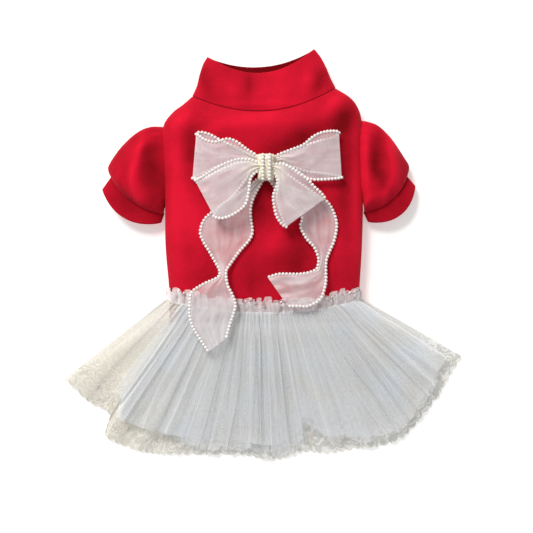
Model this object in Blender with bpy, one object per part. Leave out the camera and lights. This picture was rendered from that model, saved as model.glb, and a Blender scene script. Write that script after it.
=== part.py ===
"""A small dog's dress, laid on its belly: red fleece bodice with a stand collar and puff sleeves,
a gathered lace and tulle skirt, and a sheer bow edged with strings of pearls.

+X is the wearer's right in this view, +Y runs toward the collar and +Z is up.
The origin is on the flat belly side of the bodice, in the middle of its width.
"""
import bmesh
import bpy
import numpy as np

MM = 0.001

# Cloth, gaps and pearls
FLEECE_WALL = 1.8 * MM
BAND_WALL = 2.6 * MM
NET_WALL = 1.0 * MM
RIBBON_WALL = 1.0 * MM
PEARL = 3.0 * MM
CLEARANCE = 0.3 * MM
SLEEVE_GAP = 0.5 * MM
RIBBON_GAP = 0.5 * MM
KNOT_GAP = 0.5 * MM

# Bodice
BODY_WIDTH = 180.0 * MM
BODY_LENGTH = 207.0 * MM
BODY_HEIGHT = 34.0 * MM
HEM_Y = -110.0 * MM
SHOULDER_LEAN = 7.2 * MM
NECK_SAG = 18.0 * MM

# The section that the lying tubes share: the height of its widest place, the powers that square
# off its sides and crown its top, and how fast it widens from its flat under side.
SIDE_SHARE = 0.41
SIDE_POWER = 0.7
CROWN_POWER = 0.8
BELLY_SPREAD = 1.8
BODY_SIDES = 28
COLLAR_SIDES = 24
SLEEVE_SIDES = 20
CUTTER_SIDES = 20

# Collar
COLLAR_HEIGHT = 36.0 * MM

# Sleeves and cuffs
ARMHOLE = 70.0 * MM
ARMHOLE_TOP_LEFT = 66.0 * MM
ARMHOLE_TOP_RIGHT = 72.0 * MM
ARMHOLE_CUT_LENGTH = 60.0 * MM
ARMHOLE_CUT_HEIGHT = 12.0 * MM
ARMHOLE_CUT_DEPTH = 16.0 * MM
ARMHOLE_CUT_DROP = 2.4 * MM
SLEEVE_REACH = 50.0 * MM
SLEEVE_HEIGHT = 28.0 * MM
CUFF_DEPTH = 14.5 * MM

# Skirt
WAIST_ABOVE_HEM = 21.0 * MM
WAIST_SAG = 11.5 * MM
WAIST_EASE = 3.0 * MM
SKIRT_REACH = 181.0 * MM
SKIRT_LENGTH = 131.0 * MM
SKIRT_FOLDS = 14
FOLD_HEIGHT = 6.0 * MM
TULLE_RISE = 3.2 * MM
COLUMNS_PER_FOLD = 4
SKIRT_ROWS = 6

# Waist ruffle
RUFFLE_DEPTH = 12.5 * MM
RUFFLE_FOLDS = 15
RUFFLE_WAVE = 2.4 * MM
RUFFLE_ROOT = 0.45

# Bow
KNOT_X = 2.7 * MM
KNOT_Y = 28.0 * MM
KNOT_WIDTH = 16.0 * MM
KNOT_LENGTH = 24.0 * MM
BOW_REACH = 66.0 * MM
BOW_HEIGHT = 16.0 * MM
TAIL_DROP = 150.0 * MM
RIBBON_CROWN = 1.5 * MM
LOOP_STATIONS = 16
TAIL_STATIONS = 20
KNOT_PEARL_STATIONS = 8

# Bodice rows from the hem to the neck. Columns: place along the length, left and right half
# width, height, share of the shoulder lean, share of the neck sag.
BODY_ROWS = np.array([
    (0.00, 0.940, 0.940, 0.88, 0.0, 0.00),
    (0.07, 0.935, 0.950, 0.93, 0.0, 0.00),
    (0.15, 0.940, 0.965, 0.97, 0.0, 0.00),
    (0.33, 0.975, 0.990, 1.00, 0.0, 0.00),
    (0.50, 0.980, 1.000, 1.00, 0.0, 0.00),
    (0.62, 0.990, 0.995, 1.00, 0.0, 0.00),
    (0.72, 1.000, 0.990, 1.00, 0.2, 0.00),
    (0.82, 1.010, 0.990, 0.98, 0.6, 0.12),
    (0.88, 0.985, 0.980, 0.95, 0.8, 0.35),
    (0.93, 0.900, 0.935, 0.90, 0.9, 0.60),
    (0.965, 0.800, 0.860, 0.85, 1.0, 0.80),
    (1.00, 0.710, 0.730, 0.76, 1.0, 1.00),
])

# Collar rows from the seam to the rim. Columns: share of the collar's height, left and right
# half width and height as shares of the neck's, sag of the under and upper layer as shares.
COLLAR_ROWS = np.array([
    (0.00, 1.000, 1.000, 1.00, 1.00, 1.00),
    (0.25, 0.937, 0.930, 0.95, 0.95, 1.02),
    (0.52, 0.900, 0.870, 0.87, 0.86, 1.04),
    (0.80, 0.850, 0.790, 0.77, 0.76, 1.05),
    (1.00, 0.787, 0.704, 0.68, 0.68, 1.05),
])

# Sleeve rows from the armhole to the cuff seam. Columns: reach and drop of the outer edge,
# reach and drop of the underarm edge, sag, lowest and highest point, all as shares.
LEFT_SLEEVE_ROWS = np.array([
    (0.00, 0.00, 0.000, 1.000, 0.00, 0.07, 0.72),
    (0.26, 0.00, 0.014, 1.030, 0.00, 0.02, 0.90),
    (0.50, 0.08, 0.018, 1.055, 0.02, 0.01, 1.00),
    (0.77, 0.26, 0.022, 1.080, 0.05, 0.01, 0.98),
    (0.98, 0.47, 0.026, 1.100, 0.09, 0.01, 0.85),
    (1.01, 0.56, 0.030, 1.115, 0.11, 0.01, 0.70),
    (0.96, 0.64, 0.034, 1.130, 0.11, 0.04, 0.50),
])
RIGHT_SLEEVE_ROWS = np.array([
    (0.00, 0.00, 0.000, 1.000, 0.00, 0.07, 0.72),
    (0.15, 0.02, 0.014, 1.045, 0.00, 0.02, 0.86),
    (0.33, 0.08, 0.018, 1.085, 0.02, 0.01, 0.96),
    (0.55, 0.24, 0.022, 1.120, 0.05, 0.01, 1.00),
    (0.77, 0.47, 0.026, 1.150, 0.08, 0.01, 0.88),
    (0.87, 0.59, 0.030, 1.175, 0.11, 0.01, 0.70),
    (0.84, 0.72, 0.034, 1.200, 0.11, 0.04, 0.50),
])

# How far a cuff's edge moves from its seam, as shares of its depth: outer end, underarm end,
# underarm end toward the body, and extra sag.
LEFT_CUFF = (1.00, 0.50, 0.18, 0.35)
RIGHT_CUFF = (0.82, 0.56, 0.18, 0.35)
CUFF_STEPS = (0.0, 0.5, 1.0)

# Lace hem outline from the left tip to the right tip. Columns: across, as a share of the
# skirt's reach, and drop below the waist, as a share of its length.
HEM_OUTLINE = np.array([
    (-1.00, 0.46), (-0.87, 0.63), (-0.77, 0.71), (-0.79, 0.86), (-0.68, 0.94),
    (-0.57, 0.98), (-0.46, 0.99), (-0.28, 0.99), (-0.11, 0.99), (0.00, 1.02),
    (0.09, 1.02), (0.19, 0.97), (0.32, 0.98), (0.46, 0.95), (0.59, 0.93),
    (0.71, 0.86), (0.80, 0.72), (0.88, 0.58), (0.92, 0.48), (1.00, 0.31),
])

# Height of the skirt above the floor from the waist to the hem, and height of its folds.
SKIRT_DROP = np.array([
    (0.00, 1.00), (0.14, 1.00), (0.28, 0.84), (0.48, 0.60), (0.70, 0.34), (0.88, 0.12), (1.00, 0.02),
])
FOLD_GROWTH = np.array([(0.00, 0.28), (0.14, 0.34), (0.40, 0.75), (0.70, 0.95), (1.00, 1.00)])

# Tulle hem from its left edge to its right edge. Columns: share of the waist, share of the
# lace's length.
TULLE_HEM = np.array([
    (0.10, 0.86), (0.25, 0.84), (0.33, 0.86), (0.36, 0.96), (0.42, 0.96), (0.44, 0.90),
    (0.50, 0.90), (0.52, 0.97), (0.58, 0.97), (0.60, 0.72), (0.62, 0.88), (0.66, 0.88),
    (0.68, 0.96), (0.95, 0.95),
])

# Bow loops, from the knot along the front layer, round the fold and back. Columns: first edge
# x and y, second edge x and y, as shares of the bow's reach, then the height of each edge.
UPPER_LEFT_LOOP = np.array([
    (-0.12, 0.19, -0.12, 0.08, 0.50, 0.42),
    (-0.25, 0.24, -0.24, 0.07, 0.60, 0.42),
    (-0.39, 0.34, -0.37, 0.01, 0.66, 0.40),
    (-0.52, 0.38, -0.50, -0.03, 0.70, 0.38),
    (-0.68, 0.34, -0.67, -0.08, 0.68, 0.38),
    (-0.82, 0.37, -0.82, -0.13, 0.60, 0.38),
    (-0.90, 0.43, -0.94, -0.15, 0.46, 0.36),
    (-0.94, 0.45, -0.99, -0.14, 0.30, 0.24),
    (-0.89, 0.48, -0.94, -0.11, 0.14, 0.12),
    (-0.76, 0.45, -0.82, -0.06, 0.13, 0.12),
    (-0.63, 0.38, -0.67, 0.01, 0.13, 0.12),
    (-0.46, 0.30, -0.48, 0.05, 0.13, 0.12),
    (-0.28, 0.22, -0.30, 0.08, 0.14, 0.13),
    (-0.12, 0.18, -0.12, 0.08, 0.16, 0.16),
])
LOWER_LEFT_LOOP = np.array([
    (-0.12, 0.08, -0.12, -0.04, 0.88, 0.84),
    (-0.23, 0.10, -0.21, -0.15, 0.98, 0.94),
    (-0.38, 0.10, -0.23, -0.34, 1.04, 1.04),
    (-0.53, 0.05, -0.28, -0.51, 1.06, 1.06),
    (-0.67, -0.02, -0.41, -0.62, 1.04, 1.02),
    (-0.82, -0.11, -0.55, -0.68, 0.98, 0.96),
    (-0.91, -0.16, -0.65, -0.68, 0.88, 0.86),
    (-0.95, -0.18, -0.70, -0.65, 0.76, 0.74),
    (-0.90, -0.20, -0.66, -0.58, 0.63, 0.61),
    (-0.79, -0.15, -0.60, -0.51, 0.62, 0.60),
    (-0.63, -0.05, -0.48, -0.42, 0.62, 0.60),
    (-0.42, 0.03, -0.35, -0.27, 0.62, 0.60),
    (-0.25, 0.07, -0.24, -0.12, 0.62, 0.60),
    (-0.12, 0.07, -0.12, -0.04, 0.62, 0.60),
])
UPPER_RIGHT_LOOP = np.array([
    (0.13, 0.18, 0.13, 0.07, 0.50, 0.42),
    (0.23, 0.20, 0.23, 0.06, 0.58, 0.42),
    (0.35, 0.24, 0.37, -0.03, 0.64, 0.38),
    (0.50, 0.30, 0.50, -0.12, 0.70, 0.38),
    (0.62, 0.40, 0.62, -0.16, 0.70, 0.38),
    (0.73, 0.46, 0.76, -0.16, 0.64, 0.38),
    (0.87, 0.49, 0.91, -0.15, 0.52, 0.38),
    (0.98, 0.48, 1.02, -0.13, 0.34, 0.26),
    (0.93, 0.42, 0.95, -0.10, 0.14, 0.12),
    (0.69, 0.35, 0.72, -0.07, 0.13, 0.12),
    (0.50, 0.29, 0.55, -0.05, 0.13, 0.12),
    (0.33, 0.22, 0.37, 0.01, 0.14, 0.13),
    (0.13, 0.17, 0.13, 0.07, 0.16, 0.16),
])
LOWER_RIGHT_LOOP = np.array([
    (0.13, 0.06, 0.13, -0.07, 0.88, 0.84),
    (0.26, 0.03, 0.16, -0.20, 0.98, 0.96),
    (0.40, -0.05, 0.10, -0.38, 1.04, 1.04),
    (0.55, -0.16, 0.11, -0.52, 1.06, 1.04),
    (0.64, -0.26, 0.14, -0.65, 1.02, 1.00),
    (0.74, -0.35, 0.21, -0.76, 0.90, 0.88),
    (0.79, -0.42, 0.27, -0.80, 0.76, 0.74),
    (0.73, -0.40, 0.24, -0.73, 0.63, 0.61),
    (0.57, -0.29, 0.18, -0.57, 0.62, 0.60),
    (0.42, -0.19, 0.15, -0.38, 0.62, 0.60),
    (0.27, -0.08, 0.18, -0.21, 0.62, 0.60),
    (0.13, 0.04, 0.13, -0.07, 0.62, 0.60),
])

# Bow tails, from the knot to the cut end, as shares of the tail's drop. The same columns.
LEFT_TAIL = np.array([
    (-0.015, -0.09, -0.065, -0.09, 0.13, 0.13),
    (-0.065, -0.16, -0.140, -0.14, 0.13, 0.13),
    (-0.090, -0.23, -0.260, -0.22, 0.13, 0.13),
    (-0.090, -0.30, -0.360, -0.30, 0.13, 0.13),
    (-0.080, -0.38, -0.390, -0.38, 0.14, 0.14),
    (-0.100, -0.43, -0.370, -0.44, 0.15, 0.15),
    (-0.160, -0.50, -0.340, -0.49, 0.16, 0.16),
    (-0.210, -0.57, -0.300, -0.56, 0.20, 0.20),
    (-0.235, -0.61, -0.275, -0.61, 0.36, 0.36),
    (-0.235, -0.65, -0.285, -0.65, 0.50, 0.50),
    (-0.225, -0.70, -0.370, -0.69, 0.58, 0.58),
    (-0.200, -0.75, -0.440, -0.74, 0.64, 0.64),
    (-0.180, -0.81, -0.450, -0.81, 0.72, 0.72),
    (-0.190, -0.86, -0.450, -0.88, 0.76, 0.76),
    (-0.210, -0.92, -0.430, -0.95, 0.76, 0.76),
    (-0.225, -0.97, -0.380, -1.03, 0.76, 0.76),
    (-0.235, -1.01, -0.340, -1.09, 0.76, 0.76),
])
RIGHT_TAIL = np.array([
    (0.015, -0.09, 0.065, -0.09, 0.13, 0.13),
    (0.070, -0.14, 0.140, -0.12, 0.13, 0.13),
    (0.130, -0.21, 0.250, -0.15, 0.13, 0.13),
    (0.190, -0.26, 0.350, -0.19, 0.13, 0.13),
    (0.215, -0.30, 0.400, -0.26, 0.13, 0.13),
    (0.205, -0.35, 0.420, -0.34, 0.13, 0.13),
    (0.240, -0.42, 0.405, -0.43, 0.14, 0.14),
    (0.285, -0.47, 0.380, -0.49, 0.15, 0.15),
    (0.310, -0.53, 0.360, -0.54, 0.16, 0.16),
    (0.310, -0.57, 0.355, -0.58, 0.18, 0.20),
    (0.300, -0.60, 0.355, -0.62, 0.20, 0.24),
    (0.260, -0.62, 0.355, -0.67, 0.22, 0.34),
    (0.200, -0.63, 0.345, -0.72, 0.22, 0.50),
    (0.140, -0.63, 0.320, -0.78, 0.22, 0.60),
    (0.080, -0.63, 0.250, -0.82, 0.22, 0.62),
    (0.040, -0.64, 0.190, -0.82, 0.22, 0.62),
    (0.010, -0.65, 0.130, -0.82, 0.22, 0.62),
])

# Knot sections from its lower to its upper end: place along its length, width, height.
KNOT_ROWS = np.array([
    (0.00, 0.84, 0.74), (0.12, 0.96, 0.92), (0.35, 1.00, 1.00),
    (0.65, 1.00, 1.00), (0.88, 0.96, 0.92), (1.00, 0.84, 0.74),
])
KNOT_HEIGHT_SHARE = 1.10
KNOT_SIDES = 14
KNOT_SIDE_POWER = 0.45
KNOT_TOP_POWER = 0.6
KNOT_PEARL_PLACES = (-0.17, 0.20)

COLOURS = {
    "red_fleece": ((0.52, 0.004, 0.018, 1.0), 0.9),
    "organza": ((0.86, 0.80, 0.80, 1.0), 0.35),
    "pearl": ((0.90, 0.87, 0.85, 1.0), 0.2),
    "tulle": ((0.76, 0.79, 0.84, 1.0), 0.7),
    "lace": ((0.78, 0.75, 0.68, 1.0), 0.75),
}


def remove_old_objects():
    """Empty the scene before the dress is made."""
    for old in list(bpy.data.objects):
        bpy.data.objects.remove(old, do_unlink=True)


def material_for(name, finish):
    """A plain Principled material in the colour of the given finish."""
    colour, roughness = COLOURS[finish]
    material = bpy.data.materials.new(name)
    material.use_nodes = True
    shader = material.node_tree.nodes["Principled BSDF"]
    shader.inputs["Base Color"].default_value = colour
    shader.inputs["Roughness"].default_value = roughness
    material.diffuse_color = colour
    return material


def add_object(name, points, faces, finish):
    """A closed, smooth-shaded mesh object with its normals turned outwards."""
    mesh = bpy.data.meshes.new(name)
    mesh.from_pydata([tuple(point) for point in points], [], faces)
    work = bmesh.new()
    work.from_mesh(mesh)
    bmesh.ops.recalc_face_normals(work, faces=work.faces)
    work.to_mesh(mesh)
    work.free()
    mesh.shade_smooth()
    mesh.materials.append(material_for(name, finish))
    made = bpy.data.objects.new(name, mesh)
    bpy.context.collection.objects.link(made)
    return made


def curve_through(rows, count):
    """Points evenly spaced in parameter on a Catmull-Rom curve through the rows."""
    padded = np.vstack([2 * rows[0] - rows[1], rows, 2 * rows[-1] - rows[-2]])
    place = np.linspace(0, len(rows) - 1, count)
    start = np.minimum(place.astype(int), len(rows) - 2)
    t = (place - start)[:, None]
    before, here, after, beyond = (padded[start + step] for step in range(4))
    return 0.5 * (2 * here + (after - before) * t
                  + (2 * before - 5 * here + 4 * after - beyond) * t ** 2
                  + (3 * here - before - 3 * after + beyond) * t ** 3)


def section_angles(sides):
    """Angles round a section, counted from its right side."""
    return 2 * np.pi * np.arange(sides) / sides


def section_shape(angles):
    """Across share, -1 to 1, and height share of a lying tube: crowned above, flat below."""
    across = np.sign(np.cos(angles)) * np.abs(np.cos(angles)) ** SIDE_POWER
    rise = np.sin(angles)
    upper = SIDE_SHARE + (1 - SIDE_SHARE) * np.clip(rise, 0, None) ** CROWN_POWER
    spread = BELLY_SPREAD * np.clip(-rise, 0, None) ** SIDE_POWER
    lower = SIDE_SHARE * (1 - np.minimum(1, spread))
    return across, np.where(rise >= 0, upper, lower)


def crown_share(across):
    """Height share of the section's upper side at an across share."""
    cosine = np.clip(np.abs(across), 0, 1) ** (1 / SIDE_POWER)
    return SIDE_SHARE + (1 - SIDE_SHARE) * np.sqrt(1 - cosine ** 2) ** CROWN_POWER


def side_share(height):
    """Across share of the section's outline at a height share."""
    upper = np.clip((height - SIDE_SHARE) / (1 - SIDE_SHARE), 0, 1) ** (1 / CROWN_POWER)
    lower = np.clip((1 - height / SIDE_SHARE) / BELLY_SPREAD, 0, 1) ** (1 / SIDE_POWER)
    rise = np.where(height >= SIDE_SHARE, upper, lower)
    return np.sqrt(1 - rise ** 2) ** SIDE_POWER


def body_edge_y(side):
    """Y of each bodice row at its left (-1) or right (+1) edge."""
    return HEM_Y + BODY_ROWS[:, 0] * BODY_LENGTH + side * BODY_ROWS[:, 4] * SHOULDER_LEAN / 2


def body_side(y, z, side):
    """X of the bodice's outer surface at a Y and a height, on the left (-1) or right (+1)."""
    edge_y = body_edge_y(side)
    half = np.interp(y, edge_y, BODY_ROWS[:, 1 if side < 0 else 2]) * BODY_WIDTH / 2
    height = np.interp(y, edge_y, BODY_ROWS[:, 3]) * BODY_HEIGHT
    return side * half * side_share(np.clip(z / height, 0, 1))


def body_top(x, y):
    """Height of the bodice's upper surface over a point of the plan."""
    along = (y - HEM_Y) / BODY_LENGTH
    left = np.interp(along, BODY_ROWS[:, 0], BODY_ROWS[:, 1]) * BODY_WIDTH / 2
    right = np.interp(along, BODY_ROWS[:, 0], BODY_ROWS[:, 2]) * BODY_WIDTH / 2
    height = np.interp(along, BODY_ROWS[:, 0], BODY_ROWS[:, 3]) * BODY_HEIGHT
    middle = (right - left) / 2
    return height * crown_share((x - middle) / ((left + right) / 2))


def tube_loops(rows, inset, sides):
    """Section loops of a lying tube. Row columns: left end x and y, right end x and y, sag of
    the under and the upper layer, lowest and highest point."""
    left_end, right_end = rows[:, 0:2], rows[:, 2:4]
    span = np.linalg.norm(right_end - left_end, axis=1, keepdims=True)
    across_way = (right_end - left_end) / span
    sag_way = np.stack([across_way[:, 1], -across_way[:, 0]], axis=1)
    across, height = section_shape(section_angles(sides))
    sag = rows[:, 4:5] + (rows[:, 5:6] - rows[:, 4:5]) * height
    middle = (left_end + right_end) / 2
    plan = (middle[:, None, :]
            + across_way[:, None, :] * ((span / 2 - inset) * across)[:, :, None]
            + sag_way[:, None, :] * (sag * (1 - across ** 2))[:, :, None])
    z = rows[:, 6:7] + inset + (rows[:, 7:8] - rows[:, 6:7] - 2 * inset) * height
    return np.concatenate([plan, z[:, :, None]], axis=2)


def tube_object(name, outer, inner, finish):
    """A walled tube, open at both ends, from matching outer and inner loops."""
    count, sides = outer.shape[:2]
    points = np.concatenate([outer.reshape(-1, 3), inner.reshape(-1, 3)])
    start = count * sides
    faces = []
    for side in range(sides):
        after = (side + 1) % sides
        for row in range(count - 1):
            low, high = row * sides, (row + 1) * sides
            faces.append((low + side, low + after, high + after, high + side))
            faces.append((start + low + side, start + high + side,
                          start + high + after, start + low + after))
        last = (count - 1) * sides
        faces.append((side, start + side, start + after, after))
        faces.append((last + side, last + after, start + last + after, start + last + side))
    return add_object(name, points, faces, finish)


def sheet_object(name, under, over, finish):
    """A closed sheet between two matching grids of points."""
    rows, columns = under.shape[:2]
    points = np.concatenate([over.reshape(-1, 3), under.reshape(-1, 3)])
    start = rows * columns
    faces = []
    for row in range(rows - 1):
        for column in range(columns - 1):
            a = row * columns + column
            face = (a, a + 1, a + columns + 1, a + columns)
            faces.append(face)
            faces.append(tuple(start + corner for corner in reversed(face)))
    rim = [(0, column) for column in range(columns - 1)]
    rim += [(row, columns - 1) for row in range(rows - 1)]
    rim += [(rows - 1, column) for column in range(columns - 1, 0, -1)]
    rim += [(row, 0) for row in range(rows - 1, 0, -1)]
    rim = [row * columns + column for row, column in rim]
    for a, b in zip(rim, rim[1:] + rim[:1]):
        faces.append((b, a, start + a, start + b))
    return add_object(name, points, faces, finish)


def cut_away(target, name, centre, size):
    """Cut an elliptical hole through the target, along X, with a hidden cutter."""
    work = bmesh.new()
    bmesh.ops.create_cone(work, cap_ends=True, segments=CUTTER_SIDES, radius1=0.5, radius2=0.5,
                          depth=1.0)
    for vertex in work.verts:
        x, y, z = vertex.co
        vertex.co = (centre[0] + z * size[0], centre[1] + y * size[1], centre[2] + x * size[2])
    bmesh.ops.recalc_face_normals(work, faces=work.faces)
    mesh = bpy.data.meshes.new(name)
    work.to_mesh(mesh)
    work.free()
    cutter = bpy.data.objects.new(name, mesh)
    bpy.context.collection.objects.link(cutter)
    cutter.hide_render = True
    cutter.display_type = "WIRE"
    hole = target.modifiers.new(name, "BOOLEAN")
    hole.operation = "DIFFERENCE"
    hole.object = cutter


def armhole_top(side):
    """Y of the top of the left (-1) or right (+1) armhole."""
    return ARMHOLE_TOP_LEFT if side < 0 else ARMHOLE_TOP_RIGHT


def make_bodice():
    """The fleece body tube, with an armhole through each side."""
    half = BODY_WIDTH / 2
    rows = np.stack([
        -BODY_ROWS[:, 1] * half, body_edge_y(-1), BODY_ROWS[:, 2] * half, body_edge_y(1),
        BODY_ROWS[:, 5] * NECK_SAG, BODY_ROWS[:, 5] * NECK_SAG,
        np.zeros(len(BODY_ROWS)), BODY_ROWS[:, 3] * BODY_HEIGHT,
    ], axis=1)
    bodice = tube_object("bodice", tube_loops(rows, 0, BODY_SIDES),
                         tube_loops(rows, FLEECE_WALL, BODY_SIDES), "red_fleece")
    for side, name in ((-1, "left_armhole"), (1, "right_armhole")):
        middle_y = armhole_top(side) - ARMHOLE / 2
        middle_z = SIDE_SHARE * BODY_HEIGHT - ARMHOLE_CUT_DROP
        edge = body_side(middle_y, SIDE_SHARE * BODY_HEIGHT, side)
        cut_away(bodice, name, (edge, middle_y, middle_z),
                 (ARMHOLE_CUT_DEPTH, ARMHOLE_CUT_LENGTH, ARMHOLE_CUT_HEIGHT))


def make_collar():
    """The doubled stand collar, seated on the bodice's neck edge."""
    neck = BODY_ROWS[-1]
    half = BODY_WIDTH / 2
    rise = COLLAR_ROWS[:, 0] * COLLAR_HEIGHT + CLEARANCE
    rows = np.stack([
        -COLLAR_ROWS[:, 1] * neck[1] * half, body_edge_y(-1)[-1] + rise,
        COLLAR_ROWS[:, 2] * neck[2] * half, body_edge_y(1)[-1] + rise,
        COLLAR_ROWS[:, 4] * NECK_SAG, COLLAR_ROWS[:, 5] * NECK_SAG,
        np.zeros(len(COLLAR_ROWS)), COLLAR_ROWS[:, 3] * neck[3] * BODY_HEIGHT,
    ], axis=1)
    tube_object("collar", tube_loops(rows, 0, COLLAR_SIDES),
                tube_loops(rows, BAND_WALL, COLLAR_SIDES), "red_fleece")


def sleeve_rows(table, side):
    """Rows of a puff sleeve, its ends named from left to right in the plan."""
    outer_y = armhole_top(side) - table[:, 1] * ARMHOLE
    under_y = armhole_top(side) - table[:, 3] * ARMHOLE
    middle = SIDE_SHARE * BODY_HEIGHT
    outer_x = body_side(outer_y[0] + 0 * outer_y, middle, side) + side * table[:, 0] * SLEEVE_REACH
    under_x = body_side(under_y, middle, side) + side * (table[:, 2] * SLEEVE_REACH + CLEARANCE)
    outer, under = (outer_x, outer_y), (under_x, under_y)
    left, right = (outer, under) if side < 0 else (under, outer)
    sag = table[:, 4] * ARMHOLE
    low, high = table[:, 5] * SLEEVE_HEIGHT, table[:, 6] * SLEEVE_HEIGHT
    return np.stack([*left, *right, sag, sag, low, high], axis=1)


def seat_on_body(loop, side):
    """Move a loop's points to the bodice's side, less the gap at the armhole seam."""
    loop[:, 0] = body_side(loop[:, 1], loop[:, 2], side) + side * SLEEVE_GAP


def make_sleeve(name, table, side):
    """A puff sleeve that fans out from the armhole to its gathered cuff seam."""
    rows = sleeve_rows(table, side)
    outer = tube_loops(rows, 0, SLEEVE_SIDES)
    inner = tube_loops(rows, FLEECE_WALL, SLEEVE_SIDES)
    seat_on_body(outer[0], side)
    seat_on_body(inner[0], side)
    tube_object(name, outer, inner, "red_fleece")
    return rows[-1]


def make_cuff(name, seam, shares, side):
    """A turned cuff that carries on from the sleeve's seam row."""
    outer_share, under_share, toward_body, extra_sag = shares
    left_end, right_end = seam[0:2], seam[2:4]
    across_way = (right_end - left_end) / np.linalg.norm(right_end - left_end)
    out_way = np.array([across_way[1], -across_way[0]])
    body_way = -side * across_way
    rows = []
    for step in CUFF_STEPS:
        outer_move = out_way * (CLEARANCE + step * outer_share * CUFF_DEPTH)
        under_move = out_way * (CLEARANCE + step * under_share * CUFF_DEPTH)
        under_move = under_move + body_way * step * toward_body * CUFF_DEPTH
        left_move, right_move = (outer_move, under_move) if side < 0 else (under_move, outer_move)
        sag = seam[4] + step * extra_sag * CUFF_DEPTH
        rows.append((*(left_end + left_move), *(right_end + right_move), sag, sag,
                     seam[6], seam[7]))
    rows = np.array(rows)
    tube_object(name, tube_loops(rows, 0, SLEEVE_SIDES), tube_loops(rows, BAND_WALL, SLEEVE_SIDES),
                "red_fleece")


def waist_line(u):
    """Plan points of the waist seam, for u from 0 at the left to 1 at the right."""
    first = HEM_Y + WAIST_ABOVE_HEM
    left = body_side(first, SIDE_SHARE * BODY_HEIGHT, -1) - WAIST_EASE
    right = body_side(first, SIDE_SHARE * BODY_HEIGHT, 1) + WAIST_EASE
    across = 2 * u - 1
    x = left + (right - left) * u
    return x, first - WAIST_SAG * (1 - across ** 2)


def hem_line(u):
    """Plan points of the lace hem, through the rows of its outline."""
    waist_y = HEM_Y + WAIST_ABOVE_HEM - WAIST_SAG
    place = u * (len(HEM_OUTLINE) - 1)
    rows = np.arange(len(HEM_OUTLINE))
    x = np.interp(place, rows, HEM_OUTLINE[:, 0]) * SKIRT_REACH
    return x, waist_y - np.interp(place, rows, HEM_OUTLINE[:, 1]) * SKIRT_LENGTH


def skirt_under_side(u, v):
    """Under side of the skirt cloth, for u along the waist and v from waist to hem."""
    waist_x, waist_y = waist_line(u)
    hem_x, hem_y = hem_line(u)
    x = waist_x + (hem_x - waist_x) * v
    y = waist_y + (hem_y - waist_y) * v
    wave = np.interp(v, *FOLD_GROWTH.T) * FOLD_HEIGHT
    drape = body_top(waist_x, waist_y) * np.interp(v, *SKIRT_DROP.T)
    z = drape + CLEARANCE + wave * (1 - np.cos(2 * np.pi * SKIRT_FOLDS * u))
    return np.stack([x, y, z], axis=-1)


def make_skirt_layer(name, columns, ends, lift, finish):
    """One gathered layer between the waist and its hem, raised by the given lift."""
    u = np.repeat(columns[None, :], SKIRT_ROWS, axis=0)
    v = np.linspace(0, 1, SKIRT_ROWS)[:, None] * ends[None, :]
    under = skirt_under_side(u, v)
    under[:, :, 2] += lift
    over = under.copy()
    over[:, :, 2] += NET_WALL
    sheet_object(name, under, over, finish)


def make_skirt():
    """The lace under skirt and the shorter, narrower tulle layer above it."""
    columns = np.linspace(0, 1, SKIRT_FOLDS * COLUMNS_PER_FOLD + 1)
    make_skirt_layer("skirt_lace", columns, np.ones(len(columns)), 0.0, "lace")
    over = columns[(columns >= TULLE_HEM[0, 0]) & (columns <= TULLE_HEM[-1, 0])]
    make_skirt_layer("skirt_tulle", over, np.interp(over, *TULLE_HEM.T), TULLE_RISE, "tulle")


def make_waist_ruffle():
    """The gathered heading that stands along the waist seam, toward the collar."""
    columns = np.linspace(0, 1, RUFFLE_FOLDS * COLUMNS_PER_FOLD + 1)
    v = np.linspace(0, 1, 3)[:, None]
    u = np.repeat(columns[None, :], len(v), axis=0)
    x, y = waist_line(u)
    y = y + 2 * CLEARANCE + v * RUFFLE_DEPTH
    wave = RUFFLE_WAVE * (RUFFLE_ROOT + (1 - RUFFLE_ROOT) * v)
    z = body_top(x, y) + CLEARANCE + wave * (1 - np.cos(2 * np.pi * RUFFLE_FOLDS * u))
    under = np.stack([x, y, z], axis=-1)
    over = under.copy()
    over[:, :, 2] += NET_WALL
    sheet_object("waist_ruffle", under, over, "tulle")


def bow_edges(table, reach, count):
    """The two edge lines of a ribbon, lying over the bodice at their own heights."""
    rows = curve_through(table, count)
    edges = []
    for first in (0, 2):
        x = KNOT_X + rows[:, first] * reach
        y = KNOT_Y + rows[:, first + 1] * reach
        z = body_top(x, y) + rows[:, 4 + first // 2] * BOW_HEIGHT
        edges.append(np.stack([x, y, z], axis=1))
    return edges


def pearl_string(name, route):
    """A string of pearls, as one round tube along its route."""
    curve = bpy.data.curves.new(name, "CURVE")
    curve.dimensions = "3D"
    curve.bevel_depth = PEARL / 2
    curve.bevel_resolution = 2
    curve.use_fill_caps = True
    line = curve.splines.new("POLY")
    line.points.add(len(route) - 1)
    for point, place in zip(line.points, route):
        point.co = (*place, 1.0)
    curve.materials.append(material_for(name, "pearl"))
    bpy.context.collection.objects.link(bpy.data.objects.new(name, curve))


def unit(vectors):
    """The vectors, each at length one."""
    return vectors / np.linalg.norm(vectors, axis=-1, keepdims=True)


def inward(edge, other):
    """Directions square to an edge line that point toward the ribbon's other edge."""
    along = unit(np.gradient(edge, axis=0))
    across = other - edge
    return unit(across - along * np.sum(across * along, axis=1, keepdims=True))


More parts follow.
